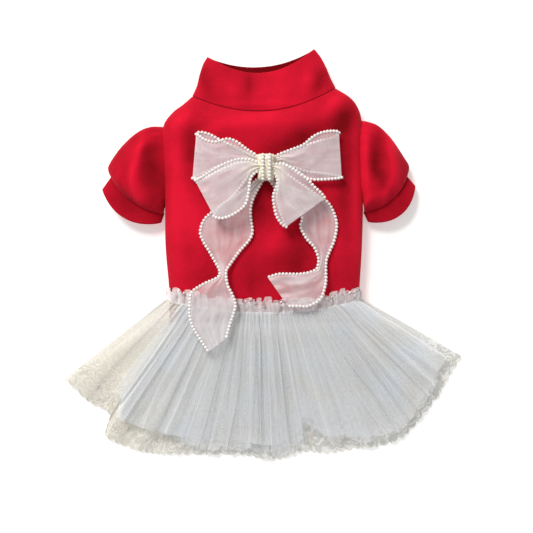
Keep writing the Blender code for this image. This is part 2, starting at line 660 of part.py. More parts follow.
def make_ribbon(name, edges):
    """A ribbon between its two edge lines, which stops short of the pearls on them."""
    first, second = edges
    start = first + inward(first, second) * (PEARL / 2 + RIBBON_GAP)
    end = second + inward(second, first) * (PEARL / 2 + RIBBON_GAP)
    middle = (start + end) / 2
    middle[:, 2] += RIBBON_CROWN
    grid = np.stack([start, middle, end], axis=1)
    along = np.gradient(grid, axis=0)
    normal = unit(np.cross(np.gradient(grid, axis=1), along))
    sheet_object(name, grid - normal * RIBBON_WALL / 2, grid + normal * RIBBON_WALL / 2, "organza")


def seat_on_knot(edges, side):
    """Move both ends of a loop's edge lines to the side of the knot. A slanted end stays
    further off, by what its turned cap takes up."""
    for edge in edges:
        for end, inner in ((0, 1), (-1, -2)):
            slant = np.linalg.norm(unit(edge[inner] - edge[end])[1:])
            room = KNOT_WIDTH / 2 + KNOT_GAP + slant * PEARL / 2
            edge[end, 0] = KNOT_X + side * room


def make_loops():
    """The four loops of the bow, each with a string of pearls on both edges."""
    loops = (
        ("upper_left", UPPER_LEFT_LOOP, -1), ("lower_left", LOWER_LEFT_LOOP, -1),
        ("upper_right", UPPER_RIGHT_LOOP, 1), ("lower_right", LOWER_RIGHT_LOOP, 1),
    )
    for place, table, side in loops:
        edges = bow_edges(table, BOW_REACH, LOOP_STATIONS)
        seat_on_knot(edges, side)
        make_ribbon(f"bow_loop_{place}", edges)
        pearl_string(f"pearls_{place}_first", edges[0])
        pearl_string(f"pearls_{place}_second", edges[1])


def make_tails():
    """The two tails, from under the knot to their cut ends."""
    for place, table in (("left_tail", LEFT_TAIL), ("right_tail", RIGHT_TAIL)):
        edges = bow_edges(table, TAIL_DROP, TAIL_STATIONS)
        for edge in edges:
            edge[0, 1] = KNOT_Y - KNOT_LENGTH / 2 - KNOT_GAP - PEARL / 2
        make_ribbon(f"bow_{place}", edges)
        pearl_string(f"pearls_{place}_first", edges[0])
        pearl_string(f"pearls_{place}_second", edges[1])


def make_knot():
    """The wrapped knot, a rounded block over the bodice, and its two strings of pearls."""
    angles = section_angles(KNOT_SIDES)
    base = body_top(KNOT_X, KNOT_Y) + CLEARANCE
    round_x = np.sign(np.cos(angles)) * np.abs(np.cos(angles)) ** KNOT_SIDE_POWER
    round_z = np.sign(np.sin(angles)) * np.abs(np.sin(angles)) ** KNOT_TOP_POWER
    points = []
    for along, width, height in KNOT_ROWS:
        tall = BOW_HEIGHT * KNOT_HEIGHT_SHARE
        x = KNOT_X + round_x * width * KNOT_WIDTH / 2
        z = base + tall / 2 + round_z * height * tall / 2
        y = np.full(len(angles), KNOT_Y + (along - 0.5) * KNOT_LENGTH)
        points += list(zip(x, y, z))
    sides, count = len(angles), len(KNOT_ROWS)
    faces = [tuple(range(sides)), tuple(range((count - 1) * sides, count * sides))]
    for row in range(count - 1):
        for side in range(sides):
            after = (side + 1) % sides
            faces.append((row * sides + side, row * sides + after,
                          (row + 1) * sides + after, (row + 1) * sides + side))
    add_object("bow_knot", points, faces, "organza")
    place = np.linspace(0, 1, KNOT_PEARL_STATIONS)
    half = BOW_HEIGHT * KNOT_HEIGHT_SHARE / 2
    rise = base + half + np.interp(place, KNOT_ROWS[:, 0], KNOT_ROWS[:, 2]) * half
    for name, across in zip(("pearls_knot_first", "pearls_knot_second"), KNOT_PEARL_PLACES):
        x = np.full(len(place), KNOT_X + across * KNOT_WIDTH)
        y = KNOT_Y + (place - 0.5) * KNOT_LENGTH
        pearl_string(name, np.stack([x, y, rise + PEARL / 2 + CLEARANCE], axis=1))


def main():
    remove_old_objects()
    make_bodice()
    make_collar()
    left_seam = make_sleeve("sleeve_left", LEFT_SLEEVE_ROWS, -1)
    right_seam = make_sleeve("sleeve_right", RIGHT_SLEEVE_ROWS, 1)
    make_cuff("cuff_left", left_seam, LEFT_CUFF, -1)
    make_cuff("cuff_right", right_seam, RIGHT_CUFF, 1)
    make_skirt()
    make_waist_ruffle()
    make_loops()
    make_tails()
    make_knot()


main()
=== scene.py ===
# %% [markdown]
# A small dog's dress is laid on its belly and seen from straight above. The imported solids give
# every place and size. This lesson builds the surfaces that show, piece by piece, as numpy
# grids: a shape is a function of two parameters, so its resolution is one number to change.

import bpy
import numpy as np
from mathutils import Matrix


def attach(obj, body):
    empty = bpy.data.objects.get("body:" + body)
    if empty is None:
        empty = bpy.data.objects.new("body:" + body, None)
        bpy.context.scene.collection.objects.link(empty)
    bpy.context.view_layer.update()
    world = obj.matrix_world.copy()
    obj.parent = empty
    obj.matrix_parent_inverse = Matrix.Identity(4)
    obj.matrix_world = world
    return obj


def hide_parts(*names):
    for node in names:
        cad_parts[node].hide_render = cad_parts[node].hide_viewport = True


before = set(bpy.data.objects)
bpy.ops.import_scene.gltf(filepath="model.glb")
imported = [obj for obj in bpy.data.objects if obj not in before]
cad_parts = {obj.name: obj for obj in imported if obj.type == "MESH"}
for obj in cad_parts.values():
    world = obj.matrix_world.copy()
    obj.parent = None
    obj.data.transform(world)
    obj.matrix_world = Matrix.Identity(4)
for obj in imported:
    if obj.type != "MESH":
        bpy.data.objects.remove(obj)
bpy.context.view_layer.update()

MM = 0.001
print("packed nodes:", len(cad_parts))

# %% [markdown]
# The camera comes first. The photograph was taken from straight above with a long view, so a
# camera high up with a long lens keeps the outline true. One pixel is 0.9 mm on the dress.

# %% Camera
PHOTO_PIXELS = 533
PIXEL = 0.9 * MM
PHOTO_CENTRE = (3.15 * MM, -59.85 * MM)
CAMERA_HEIGHT = 1.75
DRESS_PLANE = 15.0 * MM
SENSOR = 36.0

camera_data = bpy.data.cameras.new("photo_camera")
camera_data.sensor_width = SENSOR
camera_data.lens = SENSOR * (CAMERA_HEIGHT - DRESS_PLANE) / (PHOTO_PIXELS * PIXEL)
camera = bpy.data.objects.new("photo_camera", camera_data)
camera.location = (*PHOTO_CENTRE, CAMERA_HEIGHT)
bpy.context.collection.objects.link(camera)
bpy.context.scene.camera = camera
print("lens in mm:", round(camera_data.lens, 1))

# %% [markdown]
# Shader maths reads best as plain sums. A small class wraps a node's output, so that
# 1 - mask or wave * 0.3 adds the Math nodes by itself. All other nodes come from one method.

# %% Shader helpers
class Wire:
    """A number on its way out of a node. Sums with it add Math nodes to its tree."""

    def __init__(self, socket):
        self.socket = socket

    def sum(self, operation, first, second):
        """A Math node with the given operation on two numbers."""
        return Paint(self.socket.id_data).node(
            "ShaderNodeMath", {"operation": operation}, {0: first, 1: second})

    def __add__(self, other):
        return self.sum("ADD", self, other)

    def __sub__(self, other):
        return self.sum("SUBTRACT", self, other)

    def __rsub__(self, other):
        return self.sum("SUBTRACT", other, self)

    def __mul__(self, other):
        return self.sum("MULTIPLY", self, other)

    __radd__ = __add__
    __rmul__ = __mul__


class Paint:
    """Adds nodes to one material's tree."""

    def __init__(self, tree):
        self.tree = tree

    def node(self, kind, settings, inputs, output=0):
        """A node of this kind: its settings first, then its inputs, as values or wires."""
        made = self.tree.nodes.new(kind)
        for name, value in settings.items():
            if name == "stops":
                ramp = made.color_ramp
                while len(ramp.elements) < len(value):
                    ramp.elements.new(0.5)
                for element, (place, colour) in zip(ramp.elements, value):
                    element.position = place
                    element.color = colour
            else:
                setattr(made, name, value)
        for name, value in inputs.items():
            if isinstance(value, Wire):
                self.tree.links.new(value.socket, made.inputs[name])
            else:
                made.inputs[name].default_value = value
        return Wire(made.outputs[output])

    def noise(self, place, scale, detail=3.0):
        """Noise in metres: scale is bumps to the metre."""
        return self.node("ShaderNodeTexNoise", {}, {
            "Vector": place, "Scale": scale, "Detail": detail, "Roughness": 0.55})

    def mix(self, amount, first, second):
        """A colour between two colours."""
        return self.node("ShaderNodeMix", {"data_type": "RGBA"}, {0: amount, 6: first, 7: second}, 2)

    def bump(self, height, strength, distance):
        """A normal turned by a height pattern."""
        return self.node("ShaderNodeBump", {}, {
            "Strength": strength, "Distance": distance, "Height": height})


def new_material(name, sockets):
    """A material, its paint and its Principled shader with the given constants."""
    material = bpy.data.materials.new(name)
    material.use_nodes = True
    shader = material.node_tree.nodes["Principled BSDF"]
    for socket, value in sockets.items():
        shader.inputs[socket].default_value = value
    return material, Paint(material.node_tree), shader


def connect(paint, shader, links):
    """Wires into the shader's own sockets."""
    for socket, wire in links.items():
        paint.tree.links.new(wire.socket, shader.inputs[socket])

# %% [markdown]
# Brushed fleece is matt, with a nap that brightens where it faces away. Principled has a sheen
# for that. Two noises vary the red: a broad one for rubbed patches and a fine one for fibres.

# %% Red fleece
# A lit and a shaded copy of the one red fleece, painted light and painted shade: the colour runs
# between them.
RED_PAINTED_LIT = (0.73, 0.006, 0.030, 1.0)
RED_PAINTED_SHADE = (0.19, 0.000, 0.003, 1.0)
NAP_PER_METRE = 900.0
PATCH_PER_METRE = 38.0


def fleece_material(name):
    """Brushed fleece: its red runs from a painted shaded red to a painted lit red, by the piece's
    own "tone" attribute of painted shade and light and by two noises, with a nap bump and a red
    sheen."""
    material, paint, shader = new_material(name, {
        "Roughness": 0.92, "Sheen Weight": 0.25, "Sheen Roughness": 0.45,
        "Sheen Tint": (1.0, 0.16, 0.22, 1.0), "Specular IOR Level": 0.12})
    place = paint.node("ShaderNodeTexCoord", {}, {}, "Object")
    nap = paint.noise(place, NAP_PER_METRE, 4.0)
    patch = paint.noise(place, PATCH_PER_METRE, 3.0)
    fibre = paint.noise(place, NAP_PER_METRE * 3.1, 2.0)
    # The "tone" attribute holds painted shade and light: dark in fold hollows and inside the collar,
    # light on ridges.
    tone = paint.node("ShaderNodeAttribute", {"attribute_name": "tone"}, {}, "Fac")
    mixed = tone + (patch - 0.5) * 0.7 + (nap - 0.5) * 0.45 + (fibre - 0.5) * 0.2
    colour = paint.mix(paint.node("ShaderNodeMapRange", {}, {"Value": mixed}),
                       RED_PAINTED_SHADE, RED_PAINTED_LIT)
    connect(paint, shader, {
        "Base Color": colour, "Normal": paint.bump(nap * 0.7 + fibre * 0.3, 0.35, 0.7 * MM)})
    return material


FLEECE = fleece_material("red_fleece_nap")
print("made", FLEECE.name)

# %% [markdown]
# Organza, tulle and lace are open cloths, so their light comes through. Alpha between the
# threads is cheap and survives an export, where real holes would need millions of faces.

# %% Sheer cloths
CREAM = (0.90, 0.84, 0.66, 1.0)


def edge_on(paint):
    """How far the cloth is turned on edge, 0 to 1: the more it is, the more threads cover."""
    return paint.node("ShaderNodeAttribute", {"attribute_name": "edge_on"}, {}, "Fac")


def organza_material(name, alpha_low, alpha_high, colour):
    """Sheer ribbon with satin streaks along its length, denser where it is on edge."""
    material, paint, shader = new_material(name, {
        "Specular IOR Level": 0.5, "Sheen Weight": 0.3, "Sheen Roughness": 0.35})
    place = paint.node("ShaderNodeUVMap", {}, {}, "UV")
    stretched = paint.node("ShaderNodeMapping", {}, {"Vector": place, "Scale": (260.0, 22.0, 1.0)})
    streak = paint.noise(stretched, 1.0, 2.0)
    cloud = paint.noise(place, 60.0, 2.0)
    alpha = paint.node("ShaderNodeMapRange", {}, {
        "Value": streak * 0.45 + cloud * 0.55, "From Min": 0.35, "From Max": 0.65,
        "To Min": alpha_low, "To Max": alpha_high})
    near = paint.node("ShaderNodeAttribute", {"attribute_name": "near_knot"}, {}, "Fac")
    connect(paint, shader, {
        "Alpha": alpha + edge_on(paint) * 0.7 + near * 0.35,
        "Base Color": paint.mix(near, colour, CREAM), "Roughness": 0.5 - streak * 0.25,
        "Normal": paint.bump(streak, 0.3, 0.2 * MM)})
    return material


def net_material(name, colour, alpha_low, alpha_high, warm, gather):
    """Fine net: many small cells, whose edges are the threads, with slow changes of tone.
    Soft streaks run down the gathers, and folds on edge are denser."""
    material, paint, shader = new_material(name, {
        "Roughness": 0.8, "Specular IOR Level": 0.15, "Sheen Weight": 0.3,
        "Sheen Roughness": 0.4})
    place = paint.node("ShaderNodeUVMap", {}, {}, "UV")
    cells = paint.node("ShaderNodeTexVoronoi", {"feature": "DISTANCE_TO_EDGE"},
                       {"Vector": place, "Scale": 620.0}, "Distance")
    thread = paint.node("ShaderNodeMapRange", {}, {
        "Value": cells, "From Min": 0.04, "From Max": 0.24, "To Min": 1.0, "To Max": 0.0})
    streaks = paint.node("ShaderNodeMapping", {}, {"Vector": place, "Scale": (gather, 9.0, 1.0)})
    streak = paint.noise(streaks, 1.0, 3.0)
    slow = paint.noise(place, 30.0, 2.0)
    cover = thread * 0.12 + streak * 0.88
    alpha = paint.node("ShaderNodeMapRange", {}, {
        "Value": cover, "From Min": 0.3, "From Max": 0.7,
        "To Min": alpha_low, "To Max": alpha_high})
    tone = paint.node("ShaderNodeMapRange", {}, {"Value": slow, "From Min": 0.3, "From Max": 0.7})
    connect(paint, shader, {
        "Alpha": alpha + edge_on(paint) * 0.8, "Base Color": paint.mix(tone, colour, warm),
        "Normal": paint.bump(streak, 0.35, 0.5 * MM)})
    return material


ORGANZA = organza_material("white_organza", 0.30, 0.56, (0.95, 0.86, 0.88, 1.0))
KNOT_RIBBON = organza_material("cream_organza", 0.84, 0.98, CREAM)
TULLE = net_material("white_tulle", (0.88, 0.92, 0.98, 1.0), 0.08, 0.40,
                     (0.90, 0.89, 0.87, 1.0), 170.0)
RUFFLE_NET = net_material("ruffle_tulle", (0.95, 0.86, 0.88, 1.0), 0.30, 0.62,
                          (0.95, 0.90, 0.90, 1.0), 320.0)
print("made", ORGANZA.name, KNOT_RIBBON.name, TULLE.name, RUFFLE_NET.name)

# %% [markdown]
# The lace is a denser net. Its flowers and leaves are sewn in thicker thread: most of that is
# real cord later on, and a pattern of rings in the cloth's own coordinates fills between them.

# %% Lace and pearl
MOTIF_PITCH = 0.013


def lace_material(name):
    """Net with ringed flowers that crowd toward its hem, in metres along and down the cloth.
    It is ecru at its left end and whiter to the right. Its net ground is painted darker and greyer
    than its thread, as the shade under the tulle."""
    material, paint, shader = new_material(name, {
        "Roughness": 0.8, "Specular IOR Level": 0.15, "Sheen Weight": 0.2, "Sheen Roughness": 0.4})
    place = paint.node("ShaderNodeUVMap", {}, {}, "UV")
    net = paint.node("ShaderNodeTexVoronoi", {"feature": "DISTANCE_TO_EDGE"},
                     {"Vector": place, "Scale": 560.0}, "Distance")
    thread = paint.node("ShaderNodeMapRange", {}, {
        "Value": net, "From Min": 0.03, "From Max": 0.25, "To Min": 1.0, "To Max": 0.0})
    down = paint.node("ShaderNodeSeparateXYZ", {}, {"Vector": place}, "Y")
    hem = paint.node("ShaderNodeMapRange", {}, {
        "Value": down, "From Min": 0.078, "From Max": 0.100, "To Min": 0.25, "To Max": 1.0})
    flower = paint.node("ShaderNodeTexVoronoi", {"feature": "F1"}, {
        "Vector": place, "Scale": 1 / MOTIF_PITCH, "Randomness": 0.8}, "Distance")
    rings = paint.node("ShaderNodeMath", {"operation": "SINE"}, {0: flower * 24.0})
    grain = paint.noise(place, 420.0, 2.0)
    petal = hem * paint.node("ShaderNodeMapRange", {}, {
        "Value": rings + grain * 1.3, "From Min": 0.5, "From Max": 1.3})
    alpha = paint.node("ShaderNodeMath", {"operation": "MAXIMUM"}, {
        0: thread * 0.12 + grain * 0.30 + 0.52, 1: petal * 0.9})
    object_place = paint.node("ShaderNodeTexCoord", {}, {}, "Object")
    sideways = paint.node("ShaderNodeSeparateXYZ", {}, {"Vector": object_place}, "X")
    whiter = paint.node("ShaderNodeMapRange", {}, {
        "Value": sideways, "From Min": -0.13, "From Max": -0.04})
    # The ground's beige is the lace's own, painted darker and greyer for the shade of the tulle over
    # it.
    ground_with_painted_shade = paint.mix(whiter, (0.64, 0.60, 0.51, 1.0), (0.54, 0.54, 0.52, 1.0))
    sewn = paint.mix(whiter, (0.78, 0.75, 0.66, 1.0), (0.86, 0.85, 0.82, 1.0))
    connect(paint, shader, {
        "Alpha": alpha + edge_on(paint) * 0.35, "Base Color": paint.mix(petal, ground_with_painted_shade, sewn),
        "Normal": paint.bump(petal * 0.6 + thread * 0.2 + grain * 0.2, 0.5, 0.4 * MM)})
    return material


def thread_material(name, colour):
    """Glossy embroidery thread, with a fine twist along it."""
    material, paint, shader = new_material(name, {
        "Roughness": 0.5, "Sheen Weight": 0.3, "Sheen Roughness": 0.3})
    place = paint.node("ShaderNodeTexCoord", {}, {}, "Object")
    twist = paint.noise(place, 2200.0, 2.0)
    shadowed = tuple(0.82 * part for part in colour[:3]) + (1.0,)
    connect(paint, shader, {
        "Base Color": paint.mix(twist, shadowed, colour),
        "Normal": paint.bump(twist, 0.4, 0.2 * MM)})
    return material


def pearl_material(name):
    """Nacre-like plastic: a clear coat over a pale body with a slight drift of tone."""
    material, paint, shader = new_material(name, {
        "Roughness": 0.22, "Coat Weight": 0.6, "Coat Roughness": 0.08,
        "Specular IOR Level": 0.6})
    place = paint.node("ShaderNodeTexCoord", {}, {}, "Object")
    drift = paint.noise(place, 160.0, 1.0)
    connect(paint, shader, {"Base Color": paint.mix(
        drift, (0.90, 0.83, 0.81, 1.0), (0.97, 0.95, 0.92, 1.0))})
    return material


LACE = lace_material("cream_lace")
LACE_THREAD = thread_material("lace_thread", (0.84, 0.81, 0.74, 1.0))
PEARL = pearl_material("white_pearl")
print("made", LACE.name, LACE_THREAD.name, PEARL.name)

# %% [markdown]
# Every surface starts as a grid of points. Whole arrays go into the mesh in one call, which is
# far quicker than adding faces one by one. A closed section repeats its first column.

# %% Grid helpers
def smooth_rows(table, count):
    """Rows evenly spaced on a Catmull-Rom curve through a table's rows: each stretch is the
    cubic that passes through its two rows with the slope of their neighbours."""
    table = np.asarray(table, dtype=float)
    padded = np.vstack([2 * table[0] - table[1], table, 2 * table[-1] - table[-2]])
    place = np.linspace(0, len(table) - 1, count)
    start = np.minimum(place.astype(int), len(table) - 2)
    t = (place - start)[:, None]
    before, here, after, beyond = (padded[start + step] for step in range(4))
    return 0.5 * (2 * here + (after - before) * t
                  + (2 * before - 5 * here + 4 * after - beyond) * t ** 2
                  + (3 * here - before - 3 * after + beyond) * t ** 3)


def ripple(place, waves, seed):
    """A smooth random curve between about -1 and 1: a sum of sine waves with drawn phases."""
    draw = np.random.default_rng(seed)
    total = np.zeros_like(place)
    for wave in range(1, 6):
        total = total + np.sin(2 * np.pi * (waves * wave * 0.61 * place + draw.random())) / wave
    return total / 1.8


def link_mesh(name, points, quads, material, uv=None, smooth=True):
    """A mesh object from points, quads and the map coordinates of each quad's corners."""
    mesh = bpy.data.meshes.new(name)
    mesh.vertices.add(len(points))
    mesh.vertices.foreach_set("co", np.ascontiguousarray(points, dtype=np.float32).ravel())
    mesh.loops.add(quads.size)
    mesh.loops.foreach_set("vertex_index", quads.astype(np.int32).ravel())
    mesh.polygons.add(len(quads))
    mesh.polygons.foreach_set("loop_start", np.arange(0, quads.size, 4, dtype=np.int32))
    if uv is not None:
        layer = mesh.uv_layers.new(name="UVMap")
        layer.data.foreach_set("uv", np.ascontiguousarray(uv, dtype=np.float32).ravel())
    mesh.update(calc_edges=True)
    mesh.validate()
    mesh.polygons.foreach_set("use_smooth", np.full(len(mesh.polygons), smooth))
    mesh.materials.append(material)
    made = bpy.data.objects.new(name, mesh)
    bpy.context.collection.objects.link(made)
    return made


def add_attribute(piece, name, values):
    """A number at each point of a piece's mesh, for its material to read."""
    layer = piece.data.attributes.new(name, "FLOAT", "POINT")
    layer.data.foreach_set("value", np.ascontiguousarray(values, dtype=np.float32).ravel())


def mark_edge_on(piece):
    """Stores 1 less the upward share of each point's normal."""
    normals = np.empty(3 * len(piece.data.vertices), dtype=np.float32)
    piece.data.vertices.foreach_get("normal", normals)
    add_attribute(piece, "edge_on", 1 - np.abs(normals.reshape(-1, 3)[:, 2]))


def corners(grid, wrap):
    """Each quad's four corners out of a grid, in order, as one array."""
    if wrap:
        grid = np.concatenate([grid, grid[:, :1]], axis=1)
    return np.stack([grid[:-1, :-1], grid[:-1, 1:], grid[1:, 1:], grid[1:, :-1]], axis=2)


def surface(name, points, material, wrap=False, wall=0.0, rounds=0):
    """A grid surface, with a wall and rounded rims if asked. The map is in metres: along the
    rows' own length across the grid, and along the columns' length down it."""
    rows, columns = points.shape[:2]
    index = np.arange(rows * columns).reshape(rows, columns)
    closed = np.concatenate([points, points[:, :1]], axis=1) if wrap else points
    across = np.linalg.norm(np.diff(closed, axis=1), axis=2).mean(axis=0)
    down = np.linalg.norm(np.diff(closed, axis=0), axis=2).mean(axis=1)
    u = np.concatenate([[0.0], np.cumsum(across)])
    v = np.concatenate([[0.0], np.cumsum(down)])
    plane = np.stack(np.broadcast_arrays(u[None, :], v[:, None]), axis=-1)
    made = link_mesh(name, points.reshape(-1, 3), corners(index[:, :, None], wrap).reshape(-1, 4),
                     material, corners(plane, False).reshape(-1, 2))
    if wall:
        solid = made.modifiers.new("wall", "SOLIDIFY")
        solid.thickness = wall
        solid.offset = -1.0
        solid.use_even_offset = False
    if rounds:
        fine = made.modifiers.new("rounding", "SUBSURF")
        fine.levels = rounds
        fine.render_levels = rounds
    return made


def dress(piece, slot, *nodes):
    """Make a piece ride on the dress and stand for its solids. Its slot is not used."""
    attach(piece, "root")
    if nodes:
        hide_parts(*nodes)


def cloth_area(piece):
    """Area of a piece's own mesh in square metres."""
    sizes = np.empty(len(piece.data.polygons))
    piece.data.polygons.foreach_get("area", sizes)
    return float(sizes.sum())

# %% [markdown]
# The bodice, collar, sleeves and cuffs are all tubes that lie down: a flat under side, round
# sides and a crowned top. One section shape serves them all, and rows of a table place it.

# %% The lying tube
SIDE_SHARE = 0.41
# Middle of the fleece's tone, between its painted shade and its painted light.
MIDDLE_TONE = 0.62
BODY_WIDTH = 180.0 * MM
BODY_LENGTH = 207.0 * MM
BODY_HEIGHT = 34.0 * MM
HEM_Y = -110.0 * MM
SHOULDER_LEAN = 7.2 * MM
NECK_SAG = 18.0 * MM

# Columns: place along the length, left and right half width, height, lean, sag.
BODY_ROWS = np.array([
    (0.00, 0.940, 0.940, 0.88, 0.0, 0.00), (0.07, 0.935, 0.950, 0.93, 0.0, 0.00),
    (0.15, 0.940, 0.965, 0.97, 0.0, 0.00), (0.33, 0.975, 0.990, 1.00, 0.0, 0.00),
    (0.50, 0.980, 1.000, 1.00, 0.0, 0.00), (0.62, 0.990, 0.995, 1.00, 0.0, 0.00),
    (0.72, 1.000, 0.990, 1.00, 0.2, 0.00), (0.82, 1.010, 0.990, 0.98, 0.6, 0.12),
    (0.88, 0.985, 0.980, 0.95, 0.8, 0.35), (0.93, 0.900, 0.935, 0.90, 0.9, 0.60),
    (0.965, 0.800, 0.860, 0.85, 1.0, 0.80), (1.00, 0.710, 0.730, 0.76, 1.0, 1.00),
])


def section(around):
    """Across share and height share round a section: a power of the cosine squares off its
    sides, and a power of the sine crowns its top and flattens its under side."""
    angles = 2 * np.pi * np.arange(around) / around
    across = np.sign(np.cos(angles)) * np.abs(np.cos(angles)) ** 0.7
    rise = np.sin(angles)
    upper = SIDE_SHARE + (1 - SIDE_SHARE) * np.clip(rise, 0, None) ** 0.8
    lower = SIDE_SHARE * (1 - np.minimum(1, 1.8 * np.clip(-rise, 0, None) ** 0.7))
    return across, np.where(rise >= 0, upper, lower)


def crown_share(across):
    """Height share of a section's upper side at an across share."""
    cosine = np.clip(np.abs(across), 0, 1) ** (1 / 0.7)
    return SIDE_SHARE + (1 - SIDE_SHARE) * np.sqrt(1 - cosine ** 2) ** 0.8


def body_top(x, y):
    """Height of the bodice's upper surface over a point of the plan."""
    along = (y - HEM_Y) / BODY_LENGTH
    left = np.interp(along, BODY_ROWS[:, 0], BODY_ROWS[:, 1]) * BODY_WIDTH / 2
    right = np.interp(along, BODY_ROWS[:, 0], BODY_ROWS[:, 2]) * BODY_WIDTH / 2
    height = np.interp(along, BODY_ROWS[:, 0], BODY_ROWS[:, 3]) * BODY_HEIGHT
    return height * crown_share((x - (right - left) / 2) / ((left + right) / 2))


def lying_tube(rows, along, around):
    """A grid of section points. Row columns: left x and y, right x and y, sag of the under and
    the upper layer, lowest and highest point. Each section spans its two ends, and its middle
    sags square to them by the parabola 1 - across squared."""
    rows = smooth_rows(rows, along)
    left_end, right_end = rows[:, 0:2], rows[:, 2:4]
    span = np.linalg.norm(right_end - left_end, axis=1, keepdims=True)
    across_way = (right_end - left_end) / span
    sag_way = np.stack([across_way[:, 1], -across_way[:, 0]], axis=1)
    across, height = section(around)
    sag = rows[:, 4:5] + (rows[:, 5:6] - rows[:, 4:5]) * height
    middle = (left_end + right_end) / 2
    plan = (middle[:, None, :] + across_way[:, None, :] * (span / 2 * across)[:, :, None]
            + sag_way[:, None, :] * (sag * (1 - across ** 2))[:, :, None])
    z = rows[:, 6:7] + (rows[:, 7:8] - rows[:, 6:7]) * height
    return np.concatenate([plan, z[:, :, None]], axis=2)


def soft_folds(points, folds, upper):
    """Heights of soft folds and the painted shade and light on them. Each fold is a Gaussian ridge,
    long one way and narrow the other. Columns: x, y, heading in degrees, length and width in mm,
    height in mm, tone. The tone paints shade into the red of a hollow and a highlight onto a ridge."""
    x, y = points[..., 0], points[..., 1]
    lift, tone = np.zeros_like(x), np.full_like(x, MIDDLE_TONE)
    for fold_x, fold_y, heading, long, wide, high, shade in folds:
        turn = np.radians(heading)
        forward = (x - fold_x * MM) * np.cos(turn) + (y - fold_y * MM) * np.sin(turn)
        aside = -(x - fold_x * MM) * np.sin(turn) + (y - fold_y * MM) * np.cos(turn)
        ridge = np.exp(-(forward / (long * MM)) ** 2 - (aside / (wide * MM)) ** 2)
        lift += high * MM * ridge
        tone += shade * ridge
    return lift * upper, tone


def upper_share(points, high):
    """0 on the under side and 1 on the top, for folds that show only above."""
    return np.clip((points[..., 2] / high - SIDE_SHARE) / (1 - SIDE_SHARE), 0, 1) ** 0.7

# %% [markdown]
# The bodice keeps the solid's outline. Fleece is thick and springy, so it creases in a few
# broad folds and not in sharp ones: a table of soft ridges and hollows is added to the height.

# %% Bodice
FLEECE_WALL = 1.7 * MM
# The last column is painted shade where it is below zero and a painted highlight where it is above.
BODY_FOLDS = (
    (-77, 0, 90, 62, 8, 1.8, 0.42), (-63, 45, 84, 30, 9, -2.0, -0.42),
    (-62, -20, 100, 35, 10, 1.2, 0.30), (-48, -62, 96, 22, 10, -1.8, -0.22),
    (-10, 70, 4, 48, 9, 1.4, 0.34), (30, 50, 28, 46, 11, -3.0, -0.50),
    (72, 70, 62, 22, 9, -2.2, -0.45), (60, 82, 50, 16, 6, 1.2, 0.30),
    (-2, 2, 95, 22, 11, -2.0, -0.45), (38, -28, 78, 36, 12, -2.2, -0.32),
    (16, -62, 10, 42, 14, -2.4, -0.28), (-22, -40, 70, 26, 9, 0.1, 0.22),
    (10, -38, 52, 24, 8, 0.1, 0.22), (74, 20, 88, 40, 8, -1.4, -0.30),
    (84, 0, 90, 70, 5, 1.4, 0.34), (66, -44, 92, 26, 9, 1.2, 0.20),
    (-72, 72, 48, 18, 6, 1.4, 0.20), (-52, 66, 30, 14, 6, -1.0, -0.18),
    (-40, -76, 90, 12, 5, -0.8, -0.14), (-10, -77, 85, 12, 4, -0.8, -0.14),
    (28, -77, 92, 11, 4, -0.8, -0.14), (64, -74, 92, 11, 4, -0.8, -0.14),
)


def body_edges(side):
    """Y of each bodice row at its left (-1) or right (+1) edge."""
    return HEM_Y + BODY_ROWS[:, 0] * BODY_LENGTH + side * BODY_ROWS[:, 4] * SHOULDER_LEAN / 2


def make_bodice():
    """The body tube from its table of rows, with soft folds on its upper side."""
    half, nothing = BODY_WIDTH / 2, np.zeros(len(BODY_ROWS))
    sag = BODY_ROWS[:, 5] * NECK_SAG
    rows = np.stack([-BODY_ROWS[:, 1] * half, body_edges(-1), BODY_ROWS[:, 2] * half,
                     body_edges(1), sag, sag, nothing, BODY_ROWS[:, 3] * BODY_HEIGHT], axis=1)
    points = lying_tube(rows, 110, 150)[:, ::-1]  # turned so that the faces point out
    upper = upper_share(points, BODY_HEIGHT)
    lift, tone = soft_folds(points, BODY_FOLDS, upper)
    points[..., 2] += lift + 0.35 * MM * upper * ripple(
        points[..., 0] * 9 + points[..., 1] * 4, 1.7, 3) * ripple(points[..., 1] * 11, 1.3, 8)
    made = surface("bodice_fleece", points, FLEECE, wrap=True, wall=FLEECE_WALL)
    add_attribute(made, "tone", tone)
    return made


bodice = make_bodice()
dress(bodice, "red_fleece", "bodice")
print("bodice cloth in square metres:", round(cloth_area(bodice), 4))

# %% [markdown]
# The collar is a folded band, twice as thick as the body and softly rounded at its rim. Its
# seam is set off by a fine line, which is the gap that the two rounded edges leave.

# %% Collar
COLLAR_HEIGHT = 36.0 * MM
COLLAR_GAP = 0.3 * MM
BAND_WALL = 2.5 * MM
COLLAR_ROWS = np.array([
    (0.00, 1.000, 1.000, 1.00, 1.00, 1.00), (0.25, 0.937, 0.930, 0.95, 0.95, 1.02),
    (0.52, 0.900, 0.870, 0.87, 0.86, 1.04), (0.80, 0.850, 0.790, 0.77, 0.76, 1.05),
    (1.00, 0.787, 0.704, 0.68, 0.68, 1.05),
])
# The last column is painted shade where it is below zero and a painted highlight where it is above.
COLLAR_FOLDS = (
    (-28, 98, 96, 14, 5, 0.9, 0.20), (-13, 104, 92, 13, 5, -1.3, -0.40),
    (14, 100, 84, 22, 16, 0.8, 0.32), (52, 108, 70, 15, 5, -1.3, -0.38),
    (40, 108, 76, 14, 5, 0.9, 0.20), (-52, 108, 108, 17, 7, -1.0, -0.36),
    (58, 122, 60, 12, 4, 0.6, 0.15), (0, 86, 0, 40, 3, 0.4, 0.20),
)
RIM_SHADE = 0.9


